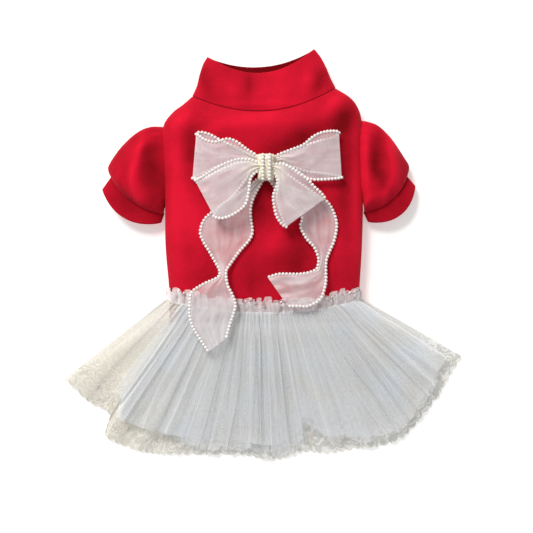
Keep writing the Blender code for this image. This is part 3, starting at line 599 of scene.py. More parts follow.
def make_collar():
    """The stand collar, from the neck edge of the bodice to its rim."""
    neck, half = BODY_ROWS[-1], BODY_WIDTH / 2
    rise = COLLAR_ROWS[:, 0] * COLLAR_HEIGHT + COLLAR_GAP
    high = COLLAR_ROWS[:, 3] * neck[3] * BODY_HEIGHT
    rows = np.stack([
        -COLLAR_ROWS[:, 1] * neck[1] * half, body_edges(-1)[-1] + rise,
        COLLAR_ROWS[:, 2] * neck[2] * half, body_edges(1)[-1] + rise,
        COLLAR_ROWS[:, 4] * NECK_SAG, COLLAR_ROWS[:, 5] * NECK_SAG,
        np.zeros(len(high)), high], axis=1)
    points = lying_tube(rows, 36, 96)[:, ::-1]  # turned so that the faces point out
    upper = upper_share(points, 22 * MM)
    lift, tone = soft_folds(points, COLLAR_FOLDS, upper)
    points[..., 2] += lift
    made = surface("collar_band", points, FLEECE, wrap=True, wall=BAND_WALL, rounds=1)
    # The collar's under side, seen inside its opening, is painted dark as shade.
    add_attribute(made, "tone", tone - RIM_SHADE * (upper == 0))
    return made


collar = make_collar()
dress(collar, "red_fleece", "collar")
print("collar cloth in square metres:", round(cloth_area(collar), 4))

# %% [markdown]
# A puff sleeve is a fan: its rows turn about the underarm from the armhole to the cuff. The
# gathers at both seams are waves that fade toward the middle of the puff, where it is full.

# %% Sleeves and cuffs
ARMHOLE = 70.0 * MM
ARMHOLE_TOPS = {-1: 66.0 * MM, 1: 72.0 * MM}
SLEEVE_REACH = 50.0 * MM
SLEEVE_HEIGHT = 28.0 * MM
CUFF_DEPTH = 14.5 * MM
SLEEVE_TUCK = 2.5 * MM

# Columns: reach and drop of the outer edge, reach and drop of the underarm edge, sag, lowest
# and highest point.
LEFT_SLEEVE = np.array([
    (0.00, 0.00, 0.000, 1.000, 0.00, 0.07, 0.72), (0.26, 0.00, 0.014, 1.030, 0.00, 0.02, 0.90),
    (0.50, 0.08, 0.018, 1.055, 0.02, 0.01, 1.00), (0.77, 0.26, 0.022, 1.080, 0.05, 0.01, 0.98),
    (0.98, 0.47, 0.026, 1.100, 0.09, 0.01, 0.85), (1.01, 0.56, 0.030, 1.115, 0.11, 0.01, 0.70),
    (0.96, 0.64, 0.034, 1.130, 0.11, 0.04, 0.50),
])
RIGHT_SLEEVE = np.array([
    (0.00, 0.00, 0.000, 1.000, 0.00, 0.07, 0.72), (0.15, 0.02, 0.014, 1.045, 0.00, 0.02, 0.86),
    (0.33, 0.08, 0.018, 1.085, 0.02, 0.01, 0.96), (0.55, 0.24, 0.022, 1.120, 0.05, 0.01, 1.00),
    (0.77, 0.47, 0.026, 1.150, 0.08, 0.01, 0.88), (0.87, 0.59, 0.030, 1.175, 0.11, 0.01, 0.70),
    (0.84, 0.72, 0.034, 1.200, 0.11, 0.04, 0.50),
])
# Outer end, underarm end, underarm end toward the body, extra sag, as shares of the depth.
CUFF_SPREAD = {-1: (1.00, 0.50, 0.18, 0.35), 1: (0.82, 0.56, 0.18, 0.35)}
# The last column is painted shade where it is below zero and a painted highlight where it is above.
SLEEVE_FOLDS = {
    -1: ((-99, 26, 96, 34, 9, -4.5, -0.55), (-112, 34, 78, 26, 4, 2.2, 0.50),
         (-114, 14, 100, 20, 4, 2.0, 0.50), (-104, -2, 122, 16, 5, 1.0, 0.15),
         (-125, 44, 50, 26, 8, -1.0, -0.20), (-120, 0, 130, 16, 4, -1.2, -0.20),
         (-104, 52, 40, 12, 4, 1.2, 0.30), (-130, 22, 78, 16, 5, 0.8, 0.05)),
    1: ((101, 38, 84, 26, 8, -4.5, -0.55), (117, 34, 98, 26, 4, 2.0, 0.45),
        (112, 8, 70, 14, 4, 1.6, 0.35), (93, 36, 90, 30, 4, 1.6, 0.45),
        (108, 16, 118, 16, 5, -1.6, -0.30), (98, 0, 20, 16, 5, 1.0, 0.20),
        (127, 34, 108, 20, 5, -0.8, -0.10), (104, -12, 24, 16, 3, -1.0, -0.20)),
}
CUFF_OVERLAP = 1.6 * MM


def body_edge_x(y, side):
    """X of the bodice's side at a Y."""
    share = np.interp(y, body_edges(side), BODY_ROWS[:, 1 if side < 0 else 2])
    return side * share * BODY_WIDTH / 2


def sleeve_rows(table, side):
    """Rows of a sleeve for the lying tube, its ends named from left to right in the plan."""
    outer_y = ARMHOLE_TOPS[side] - table[:, 1] * ARMHOLE
    under_y = ARMHOLE_TOPS[side] - table[:, 3] * ARMHOLE
    outer_x = body_edge_x(outer_y[0], side) + side * table[:, 0] * SLEEVE_REACH
    under_x = body_edge_x(under_y, side) + side * table[:, 2] * SLEEVE_REACH
    ends = ((outer_x, outer_y), (under_x, under_y))
    left, right = ends if side < 0 else ends[::-1]
    sag = table[:, 4] * ARMHOLE
    return np.stack([*left, *right, sag, sag,
                     table[:, 5] * SLEEVE_HEIGHT, table[:, 6] * SLEEVE_HEIGHT], axis=1)


def make_sleeve(name, table, side):
    """A puff sleeve, tucked a little under the bodice's side, gathered toward both seams."""
    rows = sleeve_rows(table, side)
    along, around = 64, 112
    points = lying_tube(rows, along, around)
    down = np.linspace(0, 1, along)[:, None]
    turn = np.linspace(0, 2 * np.pi, around, endpoint=False)[None, :]
    gather = 0.7 * MM * down ** 5 + 0.4 * MM * (1 - down) ** 4
    upper = upper_share(points, SLEEVE_HEIGHT * 0.9)
    lift, tone = soft_folds(points, SLEEVE_FOLDS[side], upper)
    points[..., 2] += lift + gather * upper * np.sin(17 * turn + 2 * ripple(turn, 0.7, 5 + side))
    points[..., 0] -= side * SLEEVE_TUCK * (1 - down) ** 8
    made = surface(name, points, FLEECE, wrap=True, wall=FLEECE_WALL)
    add_attribute(made, "tone", tone)
    return made, rows[-1]


def make_cuff(name, seam, side):
    """A turned band that carries on from the sleeve's last row, thicker and evenly rounded."""
    outer_share, under_share, toward_body, extra_sag = CUFF_SPREAD[side]
    left_end, right_end = seam[0:2], seam[2:4]
    across_way = (right_end - left_end) / np.linalg.norm(right_end - left_end)
    out_way = np.array([across_way[1], -across_way[0]])
    rows = []
    for step in (0.0, 0.25, 0.6, 1.0):
        back = CUFF_OVERLAP * (1 - step) ** 3
        outer_move = out_way * (step * outer_share * CUFF_DEPTH - back)
        under_move = out_way * (step * under_share * CUFF_DEPTH - back)
        under_move = under_move - side * across_way * step * toward_body * CUFF_DEPTH
        moves = (outer_move, under_move) if side < 0 else (under_move, outer_move)
        sag = seam[4] + step * extra_sag * CUFF_DEPTH
        puff = 1.4 * MM * np.sin(np.pi * min(1.0, step * 0.8 + 0.3))
        rows.append((*(left_end + moves[0]), *(right_end + moves[1]), sag, sag,
                     seam[6], seam[7] + puff))
    points = lying_tube(np.array(rows), 14, 96)
    made = surface(name, points, FLEECE, wrap=True, wall=BAND_WALL, rounds=1)
    place = np.linspace(0, 1, 14)[:, None] + 0 * points[..., 0]
    tone = MIDDLE_TONE - 0.25 + 0.2 * place + 0.12 * ripple(points[..., 0] * 12, 1.1, 9)
    add_attribute(made, "tone", tone)
    return made


for side, word, table in ((-1, "left", LEFT_SLEEVE), (1, "right", RIGHT_SLEEVE)):
    sleeve, seam_row = make_sleeve(f"sleeve_{word}_puff", table, side)
    dress(sleeve, "red_fleece", f"sleeve_{word}")
    cuff = make_cuff(f"cuff_{word}_band", seam_row, side)
    dress(cuff, "red_fleece", f"cuff_{word}")
    print(word, "sleeve and cuff:", round(cloth_area(sleeve), 4), round(cloth_area(cuff), 4))

# %% [markdown]
# The skirt hangs from the waist seam and fans out to its hem. Both lines are curves in the
# plan, and a layer is the straight blend between them. Gathers are omega folds: the cloth
# doubles back under each crest, which is what draws the bright double lines in tulle.

# %% Skirt plan
WAIST_ABOVE_HEM = 21.0 * MM
WAIST_SAG = 11.5 * MM
WAIST_EASE = 3.0 * MM
SKIRT_REACH = 181.0 * MM
SKIRT_LENGTH = 131.0 * MM
HEM_OUTLINE = np.array([
    (-1.00, 0.46), (-0.87, 0.63), (-0.77, 0.71), (-0.79, 0.86), (-0.68, 0.94),
    (-0.57, 0.98), (-0.46, 0.99), (-0.28, 0.99), (-0.11, 0.99), (0.00, 1.02),
    (0.09, 1.02), (0.19, 0.97), (0.32, 0.98), (0.46, 0.95), (0.59, 0.93),
    (0.71, 0.86), (0.80, 0.72), (0.88, 0.58), (0.92, 0.48), (1.00, 0.31),
])
SKIRT_DROP = np.array([
    (0.00, 1.00), (0.14, 1.00), (0.28, 0.84), (0.48, 0.60), (0.70, 0.34), (0.88, 0.12), (1.00, 0.02),
])
FOLD_GROWTH = np.array([(0.00, 0.28), (0.14, 0.34), (0.40, 0.75), (0.70, 0.95), (1.00, 1.00)])


def waist_line(u):
    """Plan of the waist seam: a shallow parabola from the left side (0) to the right (1)."""
    first = HEM_Y + WAIST_ABOVE_HEM
    left, right = body_edge_x(first, -1) - WAIST_EASE, body_edge_x(first, 1) + WAIST_EASE
    return left + (right - left) * u, first - WAIST_SAG * (1 - (2 * u - 1) ** 2)


HEM_CURVE = smooth_rows(HEM_OUTLINE, 400)


def hem_line(u):
    """Plan of the lace hem, from its outline's smoothed rows."""
    place = np.linspace(0, 1, len(HEM_CURVE))
    waist_y = HEM_Y + WAIST_ABOVE_HEM - WAIST_SAG
    return (np.interp(u, place, HEM_CURVE[:, 0]) * SKIRT_REACH,
            waist_y - np.interp(u, place, HEM_CURVE[:, 1]) * SKIRT_LENGTH)


PUCKER_FADE = 0.14


def skirt_points(u, v, folds, swell, lift, lean, seed):
    """Points of a gathered layer. u runs along the waist and v from waist to hem. The fold
    phase t grows with u, unevenly, and drifts with v. Height is a cosine of t, and u itself
    shifts by the sine of 2t, so the walls of each fold overhang. Small puckers, a third of a
    fold wide, die away below the waist by exp(-v / fade)."""
    t = 2 * np.pi * folds * u + 1.7 * ripple(u, folds * 0.22, seed)
    t = t + 1.6 * v * ripple(u + 0.10 * v, 3.1, seed + 1)
    size = 0.70 + 0.55 * ripple(u + 0.05 * v, folds * 0.31, seed + 2)
    depth = np.clip(size, 0.08, 1.25) * (1 - 0.30 * v)
    pucker = np.exp(-v / PUCKER_FADE) * np.clip(v * 25, 0.25, 1)
    fine = 3.1 * t + 1.3 * ripple(u, folds * 0.7, seed + 3)
    shift = (lean * np.sin(2 * t) + 0.35 * np.cos(t)) * depth * np.clip(v * 5, 0.2, 1)
    shift = shift + 0.22 * np.sin(2 * fine) * pucker
    moved = np.clip(u + shift / (2 * np.pi * folds), 0, 1)
    waist_x, waist_y = waist_line(moved)
    hem_x, hem_y = hem_line(moved)
    x = waist_x + (hem_x - waist_x) * v
    y = waist_y + (hem_y - waist_y) * v
    growth = np.interp(v, *FOLD_GROWTH.T)
    drape = body_top(waist_x, waist_y) * np.interp(v, *SKIRT_DROP.T)
    z = drape + 0.5 * MM + growth * (lift + swell * depth * (1 - np.cos(t)))
    z = z + 0.8 * MM * pucker * (1 - np.cos(fine))
    return np.stack([x, y, z], axis=-1)

# %% [markdown]
# The lace layer shows at the left and along the hem. Its edge is scalloped: the grid's last
# row follows a string of half circles, so the outline is real and not painted.

# %% Lace layer
LACE_FOLDS, LACE_SWELL, LACE_LEAN = 15, 2.2 * MM, 0.45
SCALLOPS, SCALLOP_DEPTH = 72, 0.022
LACE_SEED = 11


def lace_point(u, v):
    """A point on the lace layer."""
    return skirt_points(u, v, LACE_FOLDS, LACE_SWELL, 0.0, LACE_LEAN, LACE_SEED)


def scallop(u):
    """How far the hem draws back, as a share of the skirt's length: half circles in a row."""
    return SCALLOP_DEPTH * (1 - np.abs(np.sin(np.pi * SCALLOPS * u)) ** 0.7)


def layer_grid(columns, rows, first, last, hem):
    """u and v of a layer's grid, whose last row is the hem's v for each column."""
    u = np.repeat(np.linspace(first, last, columns)[None, :], rows, axis=0)
    return u, np.linspace(0, 1, rows)[:, None] * hem(u[0])[None, :]


u, v = layer_grid(1100, 34, 0.0, 1.0, lambda place: 1.0 - scallop(place))
lace = surface("skirt_lace_net", lace_point(u, v), LACE)
mark_edge_on(lace)
dress(lace, "lace", "skirt_lace")
print("lace cloth in square metres:", round(cloth_area(lace), 4))

# %% [markdown]
# Embroidery is thread laid on the net. Each flower is a closed curve in the cloth's own
# coordinates, carried onto the folded surface, and a thin round tube is swept along it. All the
# flowers are swept in one go: the curves are one array with an axis for the motif.

# %% Lace embroidery
THREAD_SIDES = 5
LIFT_THREAD = np.array([0, 0, 0.2 * MM])


def tubes(routes, radius, closed):
    """Round tubes along many routes at once, as points and quads. Each ring lies in the plane
    of the route's side direction (tangent cross up) and its own normal."""
    count, steps = routes.shape[:2]
    if closed:
        tangent = np.roll(routes, -1, axis=1) - np.roll(routes, 1, axis=1)
    else:
        tangent = np.gradient(routes, axis=1)
    tangent /= np.maximum(np.linalg.norm(tangent, axis=2, keepdims=True), 1e-12)
    aside = np.cross(tangent, np.array([0.0, 0.0, 1.0]))
    aside /= np.maximum(np.linalg.norm(aside, axis=2, keepdims=True), 1e-9)
    normal = np.cross(aside, tangent)
    turn = 2 * np.pi * np.arange(THREAD_SIDES) / THREAD_SIDES
    ring = (aside[:, :, None, :] * np.cos(turn)[None, None, :, None]
            + normal[:, :, None, :] * np.sin(turn)[None, None, :, None])
    points = routes[:, :, None, :] + radius * ring
    index = np.arange(count * steps * THREAD_SIDES).reshape(count, steps, THREAD_SIDES)
    if closed:
        index = np.concatenate([index, index[:, :1]], axis=1)
    index = np.concatenate([index, index[:, :, :1]], axis=2)
    quads = np.stack([index[:, :-1, :-1], index[:, 1:, :-1], index[:, 1:, 1:],
                      index[:, :-1, 1:]], axis=-1)
    return points.reshape(-1, 3), quads.reshape(-1, 4)


def joined(name, shapes, material):
    """One mesh object from several lots of points and quads."""
    points, quads, start = [], [], 0
    for more_points, more_quads in shapes:
        points.append(more_points)
        quads.append(more_quads + start)
        start += len(more_points)
    return link_mesh(name, np.concatenate(points), np.concatenate(quads), material)


HEM_METRES = 0.50
ROSES = 9
SPRIGS = 64


def flower_routes(centre_u, centre_v, size, petals, inner, steps):
    """Closed petal curves on the lace, one for each centre. The radius is the size times a
    blend of 1 and a cosine of the angle times the petals."""
    turn = np.linspace(0, 2 * np.pi, steps, endpoint=False)[None, :]
    radius = size[:, None] * (inner + (1 - inner) * np.cos(petals * turn + 9 * centre_u[:, None]))
    u = centre_u[:, None] + radius * np.cos(turn) / HEM_METRES
    v = centre_v[:, None] + radius * np.sin(turn) / SKIRT_LENGTH
    return lace_point(np.clip(u, 0.001, 0.999), np.clip(v, 0, 0.985)) + LIFT_THREAD


def make_embroidery():
    """Large roses of three rings, small sprigs strewn between them, and the corded edge."""
    draw = np.random.default_rng(4)
    rose_u = (np.arange(ROSES) + 0.25 + 0.5 * draw.random(ROSES)) / ROSES
    rose_v = 0.86 + 0.05 * draw.random(ROSES)
    shapes = []
    for size, petals, inner, steps in ((6.6, 7, 0.86, 84), (4.4, 5, 0.80, 60), (2.0, 3, 0.80, 30)):
        sizes = size * MM * (0.8 + 0.3 * draw.random(ROSES))
        shapes.append(tubes(flower_routes(rose_u, rose_v, sizes, petals, inner, steps),
                            0.32 * MM, True))
    sprig_u = (np.arange(SPRIGS) + draw.random(SPRIGS)) / SPRIGS
    sprig_v = 0.80 + 0.16 * draw.random(SPRIGS)
    sizes = MM * (1.6 + 2.4 * draw.random(SPRIGS))
    shapes.append(tubes(flower_routes(sprig_u, sprig_v, sizes, 4, 0.62, 32), 0.30 * MM, True))
    shapes.append(tubes(flower_routes(sprig_u, sprig_v, sizes * 0.35, 3, 0.9, 12), 0.34 * MM, True))
    u = np.linspace(0.004, 0.996, 900)
    edge = 1.0 - scallop(u)
    for v in (edge, 0.80 + 0.02 * np.sin(2 * np.pi * 31 * u) * ripple(u, 7, 2)):
        shapes.append(tubes((lace_point(u, v) + LIFT_THREAD)[None], 0.34 * MM, False))
    return joined("skirt_lace_embroidery", shapes, LACE_THREAD)


embroidery = make_embroidery()
dress(embroidery, "lace")
print("embroidery faces:", len(embroidery.data.polygons))

# %% [markdown]
# Two plies of tulle lie over the lace. The hem of the upper ply is cut in panels of different
# lengths, and the lower ply fills in behind it. Each has its own fold phases, so they cross.

# %% Tulle layers
TULLE_HEM = np.array([
    (0.085, 0.80), (0.11, 0.86), (0.25, 0.84), (0.33, 0.87), (0.350, 0.96), (0.42, 0.965),
    (0.437, 0.90), (0.50, 0.895), (0.515, 0.97), (0.585, 0.975), (0.600, 0.74), (0.622, 0.76),
    (0.632, 0.88), (0.68, 0.89), (0.695, 0.955), (0.80, 0.95), (0.93, 0.93), (0.95, 0.90),
])
UNDER_PLY_HEM = np.array([
    (0.10, 0.84), (0.25, 0.82), (0.34, 0.93), (0.45, 0.95), (0.58, 0.93), (0.605, 0.80),
    (0.63, 0.86), (0.75, 0.93), (0.98, 0.90),
])
MIDDLE_PLY_HEM = np.array([
    (0.12, 0.83), (0.28, 0.86), (0.42, 0.91), (0.56, 0.88), (0.605, 0.78), (0.64, 0.90),
    (0.80, 0.94), (0.99, 0.88),
])
TULLE_PLIES = (
    ("skirt_tulle_under_ply", UNDER_PLY_HEM, 19, 1.8 * MM, 4.4 * MM, 1.20, 21),
    ("skirt_tulle_middle_ply", MIDDLE_PLY_HEM, 13, 2.0 * MM, 7.0 * MM, 1.25, 27),
    ("skirt_tulle_over_ply", TULLE_HEM, 16, 3.0 * MM, 9.6 * MM, 1.35, 35),
)
tulle_pieces = []
for name, hem, folds, swell, lift, lean, seed in TULLE_PLIES:
    u, v = layer_grid(1200, 26, hem[0, 0], hem[-1, 0], lambda place: np.interp(place, *hem.T))
    ply = surface(name, skirt_points(u, v, folds, swell, lift, lean, seed), TULLE)
    mark_edge_on(ply)
    tulle_pieces.append(ply)
    print(name, "in square metres:", round(cloth_area(ply), 4))
dress(tulle_pieces[0], "tulle")
dress(tulle_pieces[1], "tulle")
dress(tulle_pieces[2], "tulle", "skirt_tulle")

# %% [markdown]
# Above the waist seam the same net stands up as a frill, called a heading. It is pulled tight
# at the seam and opens toward its edge, so its waves grow from nothing to their full height.

# %% Waist ruffle
RUFFLE_DEPTH = 12.5 * MM
RUFFLE_WAVE = 2.3 * MM


def ruffle_points(u, v, folds, seed, depth, lift):
    """The heading: waves in height and along the seam that grow away from it."""
    t = 2 * np.pi * folds * u + 1.6 * ripple(u, folds * 0.3, seed)
    t = t + 1.1 * v * ripple(u + 0.2 * v, folds * 0.5, seed + 2)
    size = np.clip(0.8 + 0.5 * ripple(u, folds * 0.4, seed + 1), 0.2, 1.3)
    curl = (1.25 * np.sin(2 * t) + 0.9 * np.cos(t) * v) * size * np.clip(v * 1.6, 0.15, 1)
    x, y = waist_line(np.clip(u + curl / (2 * np.pi * folds), 0, 1))
    reach = 0.80 + 0.16 * np.cos(t) + 0.16 * ripple(u, folds * 0.23, seed + 4)
    y = y - 2.0 * MM + v * (2.0 * MM + depth * np.clip(reach, 0.45, 1.1))
    z = body_top(x, y) + lift + RUFFLE_WAVE * (0.3 + 0.7 * v) * size * (1 - np.cos(t))
    return np.stack([x, y, z], axis=-1)


ruffles = []
for name, folds, seed, depth, lift in (("waist_ruffle_under_ply", 27, 51, 11.5 * MM, 1.4 * MM),
                                       ("waist_ruffle_over_ply", 19, 62, 12.6 * MM, 2.8 * MM)):
    u, v = layer_grid(900, 14, 0.0, 1.0, lambda place: np.ones(len(place)))
    ply = surface(name, ruffle_points(u, v, folds, seed, depth, lift), RUFFLE_NET)
    mark_edge_on(ply)
    ruffles.append(ply)
    print(name, "in square metres:", round(cloth_area(ply), 5))
dress(ruffles[0], "tulle")
dress(ruffles[1], "tulle", "waist_ruffle")

# %% [markdown]
# The bow is organza ribbon. Its two edges are smooth curves through the same few rows that the
# solids use, and the cloth between them is a blend with a slight crown and creases that run
# from the knot. The pearls sit on the edges, so both come from one set of curves.

# %% Ribbon rows
KNOT_X, KNOT_Y = 2.7 * MM, 28.0 * MM
KNOT_WIDTH, KNOT_LENGTH = 16.0 * MM, 24.0 * MM
BOW_REACH, BOW_HEIGHT, TAIL_DROP = 66.0 * MM, 16.0 * MM, 150.0 * MM
PEARL_SIZE = 3.1 * MM

# Columns: first edge x and y, second edge x and y, then the height of each edge.
UPPER_LEFT_LOOP = np.array([
    (-0.12, 0.19, -0.12, 0.08, 0.50, 0.42), (-0.25, 0.24, -0.24, 0.07, 0.60, 0.42),
    (-0.39, 0.34, -0.37, 0.01, 0.66, 0.40), (-0.52, 0.38, -0.50, -0.03, 0.70, 0.38),
    (-0.68, 0.34, -0.67, -0.08, 0.68, 0.38), (-0.82, 0.37, -0.82, -0.13, 0.60, 0.38),
    (-0.90, 0.43, -0.94, -0.15, 0.46, 0.36), (-0.94, 0.45, -0.99, -0.14, 0.30, 0.24),
    (-0.89, 0.48, -0.94, -0.11, 0.14, 0.12), (-0.76, 0.45, -0.82, -0.06, 0.13, 0.12),
    (-0.63, 0.38, -0.67, 0.01, 0.13, 0.12), (-0.46, 0.30, -0.48, 0.05, 0.13, 0.12),
    (-0.28, 0.22, -0.30, 0.08, 0.14, 0.13), (-0.12, 0.18, -0.12, 0.08, 0.16, 0.16),
])
LOWER_LEFT_LOOP = np.array([
    (-0.12, 0.08, -0.12, -0.04, 0.88, 0.84), (-0.23, 0.10, -0.21, -0.15, 0.98, 0.94),
    (-0.38, 0.10, -0.23, -0.34, 1.04, 1.04), (-0.53, 0.05, -0.28, -0.51, 1.06, 1.06),
    (-0.67, -0.02, -0.41, -0.62, 1.04, 1.02), (-0.82, -0.11, -0.55, -0.68, 0.98, 0.96),
    (-0.91, -0.16, -0.65, -0.68, 0.88, 0.86), (-0.95, -0.18, -0.70, -0.65, 0.76, 0.74),
    (-0.90, -0.20, -0.66, -0.58, 0.63, 0.61), (-0.79, -0.15, -0.60, -0.51, 0.62, 0.60),
    (-0.63, -0.05, -0.48, -0.42, 0.62, 0.60), (-0.42, 0.03, -0.35, -0.27, 0.62, 0.60),
    (-0.25, 0.07, -0.24, -0.12, 0.62, 0.60), (-0.12, 0.07, -0.12, -0.04, 0.62, 0.60),
])
UPPER_RIGHT_LOOP = np.array([
    (0.13, 0.18, 0.13, 0.07, 0.50, 0.42), (0.23, 0.20, 0.23, 0.06, 0.58, 0.42),
    (0.35, 0.24, 0.37, -0.03, 0.64, 0.38), (0.50, 0.30, 0.50, -0.12, 0.70, 0.38),
    (0.62, 0.40, 0.62, -0.16, 0.70, 0.38), (0.73, 0.46, 0.76, -0.16, 0.64, 0.38),
    (0.87, 0.49, 0.91, -0.15, 0.52, 0.38), (0.98, 0.48, 1.02, -0.13, 0.34, 0.26),
    (0.93, 0.42, 0.95, -0.10, 0.14, 0.12), (0.69, 0.35, 0.72, -0.07, 0.13, 0.12),
    (0.50, 0.29, 0.55, -0.05, 0.13, 0.12), (0.33, 0.22, 0.37, 0.01, 0.14, 0.13),
    (0.13, 0.17, 0.13, 0.07, 0.16, 0.16),
])
LOWER_RIGHT_LOOP = np.array([
    (0.13, 0.06, 0.13, -0.07, 0.88, 0.84), (0.26, 0.03, 0.16, -0.20, 0.98, 0.96),
    (0.40, -0.05, 0.10, -0.38, 1.04, 1.04), (0.55, -0.16, 0.11, -0.52, 1.06, 1.04),
    (0.64, -0.26, 0.14, -0.65, 1.02, 1.00), (0.74, -0.35, 0.21, -0.76, 0.90, 0.88),
    (0.79, -0.42, 0.27, -0.80, 0.76, 0.74), (0.73, -0.40, 0.24, -0.73, 0.63, 0.61),
    (0.57, -0.29, 0.18, -0.57, 0.62, 0.60), (0.42, -0.19, 0.15, -0.38, 0.62, 0.60),
    (0.27, -0.08, 0.18, -0.21, 0.62, 0.60), (0.13, 0.04, 0.13, -0.07, 0.62, 0.60),
])
LEFT_TAIL = np.array([
    (-0.015, -0.09, -0.065, -0.09, 0.13, 0.13), (-0.065, -0.16, -0.140, -0.14, 0.13, 0.13),
    (-0.090, -0.23, -0.260, -0.22, 0.13, 0.13), (-0.090, -0.30, -0.360, -0.30, 0.13, 0.13),
    (-0.080, -0.38, -0.390, -0.38, 0.14, 0.14), (-0.100, -0.43, -0.370, -0.44, 0.15, 0.15),
    (-0.160, -0.50, -0.340, -0.49, 0.16, 0.16), (-0.210, -0.57, -0.300, -0.56, 0.20, 0.20),
    (-0.235, -0.61, -0.275, -0.61, 0.36, 0.36), (-0.235, -0.65, -0.285, -0.65, 0.50, 0.50),
    (-0.225, -0.70, -0.370, -0.69, 0.58, 0.58), (-0.200, -0.75, -0.440, -0.74, 0.64, 0.64),
    (-0.180, -0.81, -0.450, -0.81, 0.72, 0.72), (-0.190, -0.86, -0.450, -0.88, 0.76, 0.76),
    (-0.210, -0.92, -0.430, -0.95, 0.76, 0.76), (-0.225, -0.97, -0.380, -1.03, 0.76, 0.76),
    (-0.235, -1.01, -0.340, -1.09, 0.76, 0.76),
])
RIGHT_TAIL = np.array([
    (0.015, -0.09, 0.065, -0.09, 0.13, 0.13), (0.070, -0.14, 0.140, -0.12, 0.13, 0.13),
    (0.130, -0.21, 0.250, -0.15, 0.13, 0.13), (0.190, -0.26, 0.350, -0.19, 0.13, 0.13),
    (0.215, -0.30, 0.400, -0.26, 0.13, 0.13), (0.205, -0.35, 0.420, -0.34, 0.13, 0.13),
    (0.240, -0.42, 0.405, -0.43, 0.14, 0.14), (0.285, -0.47, 0.380, -0.49, 0.15, 0.15),
    (0.310, -0.53, 0.360, -0.54, 0.16, 0.16), (0.310, -0.57, 0.355, -0.58, 0.18, 0.20),
    (0.300, -0.60, 0.355, -0.62, 0.20, 0.24), (0.260, -0.62, 0.355, -0.67, 0.22, 0.34),
    (0.200, -0.63, 0.345, -0.72, 0.22, 0.50), (0.140, -0.63, 0.320, -0.78, 0.22, 0.60),
    (0.080, -0.63, 0.250, -0.82, 0.22, 0.62), (0.040, -0.64, 0.190, -0.82, 0.22, 0.62),
    (0.010, -0.65, 0.130, -0.82, 0.22, 0.62),
])

# %% Ribbons and pearls
RIBBON_ROWS, RIBBON_COLUMNS = 150, 19
END_DRAWN_IN, END_FADE = 0.45, 0.035
KNOT_GLOW = 15.0 * MM


def ribbon_edges(table, reach, both_ends):
    """The two edge curves of a ribbon, over the bodice by their own heights. An end at the
    knot is drawn in toward its middle, by a share that fades with exp(-place / fade)."""
    rows = smooth_rows(table, RIBBON_ROWS)
    place = np.linspace(0, 1, RIBBON_ROWS)
    drawn = 1 - END_DRAWN_IN * np.exp(-place / END_FADE)
    if both_ends:
        drawn = drawn - END_DRAWN_IN * np.exp(-(1 - place) / END_FADE)
    rows[:, :4] *= drawn[:, None]
    edges = []
    for first in (0, 2):
        x = KNOT_X + rows[:, first] * reach
        y = KNOT_Y + rows[:, first + 1] * reach
        edges.append(np.stack([x, y, body_top(x, y) + rows[:, 4 + first // 2] * BOW_HEIGHT], axis=1))
    return edges


def ribbon_points(edges, creases, seed):
    """Cloth between two edges: their straight blend, raised by a parabola across, with
    creases along it that are deepest at both ends, where the knot gathers it."""
    across = np.linspace(0, 1, RIBBON_COLUMNS)[None, :, None]
    points = edges[0][:, None, :] * (1 - across) + edges[1][:, None, :] * across
    along = np.linspace(0, 1, RIBBON_ROWS)[:, None]
    middle = 4 * across[..., 0] * (1 - across[..., 0])
    pinch = creases * (np.exp(-along * 7) + np.exp(-(1 - along) * 7))
    wave = np.sin(2 * np.pi * (3.2 * across[..., 0] + 0.3 * ripple(along, 1.2, seed)))
    slow = ripple(along + 0.5 * across[..., 0], 2.6, seed + 1)
    points[..., 2] += middle * (1.3 * MM + 0.9 * MM * slow + pinch * wave)
    return points


def bead_lot(routes, size):
    """Round beads at an even pitch along the routes, as points and quads. A bead is a grid of
    turn by tilt, the same for all, added to each bead's centre."""
    centres = []
    for route in routes:
        steps = np.linalg.norm(np.diff(route, axis=0), axis=1)
        length = np.concatenate([[0.0], np.cumsum(steps)])
        count = max(2, int(length[-1] / (size * 1.03)))
        place = (np.arange(count) + 0.5) / count * length[-1]
        centres.append(np.stack([np.interp(place, length, route[:, axis]) for axis in range(3)],
                                axis=1))
    centres = np.concatenate(centres)
    turn = 2 * np.pi * np.arange(10)[None, :] / 10
    tilt = np.pi * np.linspace(0.04, 0.96, 7)[:, None]
    ball = np.stack([np.sin(tilt) * np.cos(turn), np.sin(tilt) * np.sin(turn),
                     np.cos(tilt) + 0 * turn], axis=-1) * size / 2
    points = centres[:, None, None, :] + ball[None]
    index = np.arange(points.size // 3).reshape(len(centres), 7, 10)
    index = np.concatenate([index, index[:, :, :1]], axis=2)
    quads = np.stack([index[:, :-1, :-1], index[:, 1:, :-1], index[:, 1:, 1:],
                      index[:, :-1, 1:]], axis=-1).reshape(-1, 4)
    caps = [index[:, row, :-1][:, [0, 2, 4, 6, 8, 9]] for row in (0, 6)]
    ends = np.concatenate([caps[0][:, [0, 1, 2, 3]], caps[0][:, [0, 3, 4, 5]],
                           caps[1][:, [3, 2, 1, 0]], caps[1][:, [5, 4, 3, 0]]])
    return points.reshape(-1, 3), np.concatenate([quads, ends])


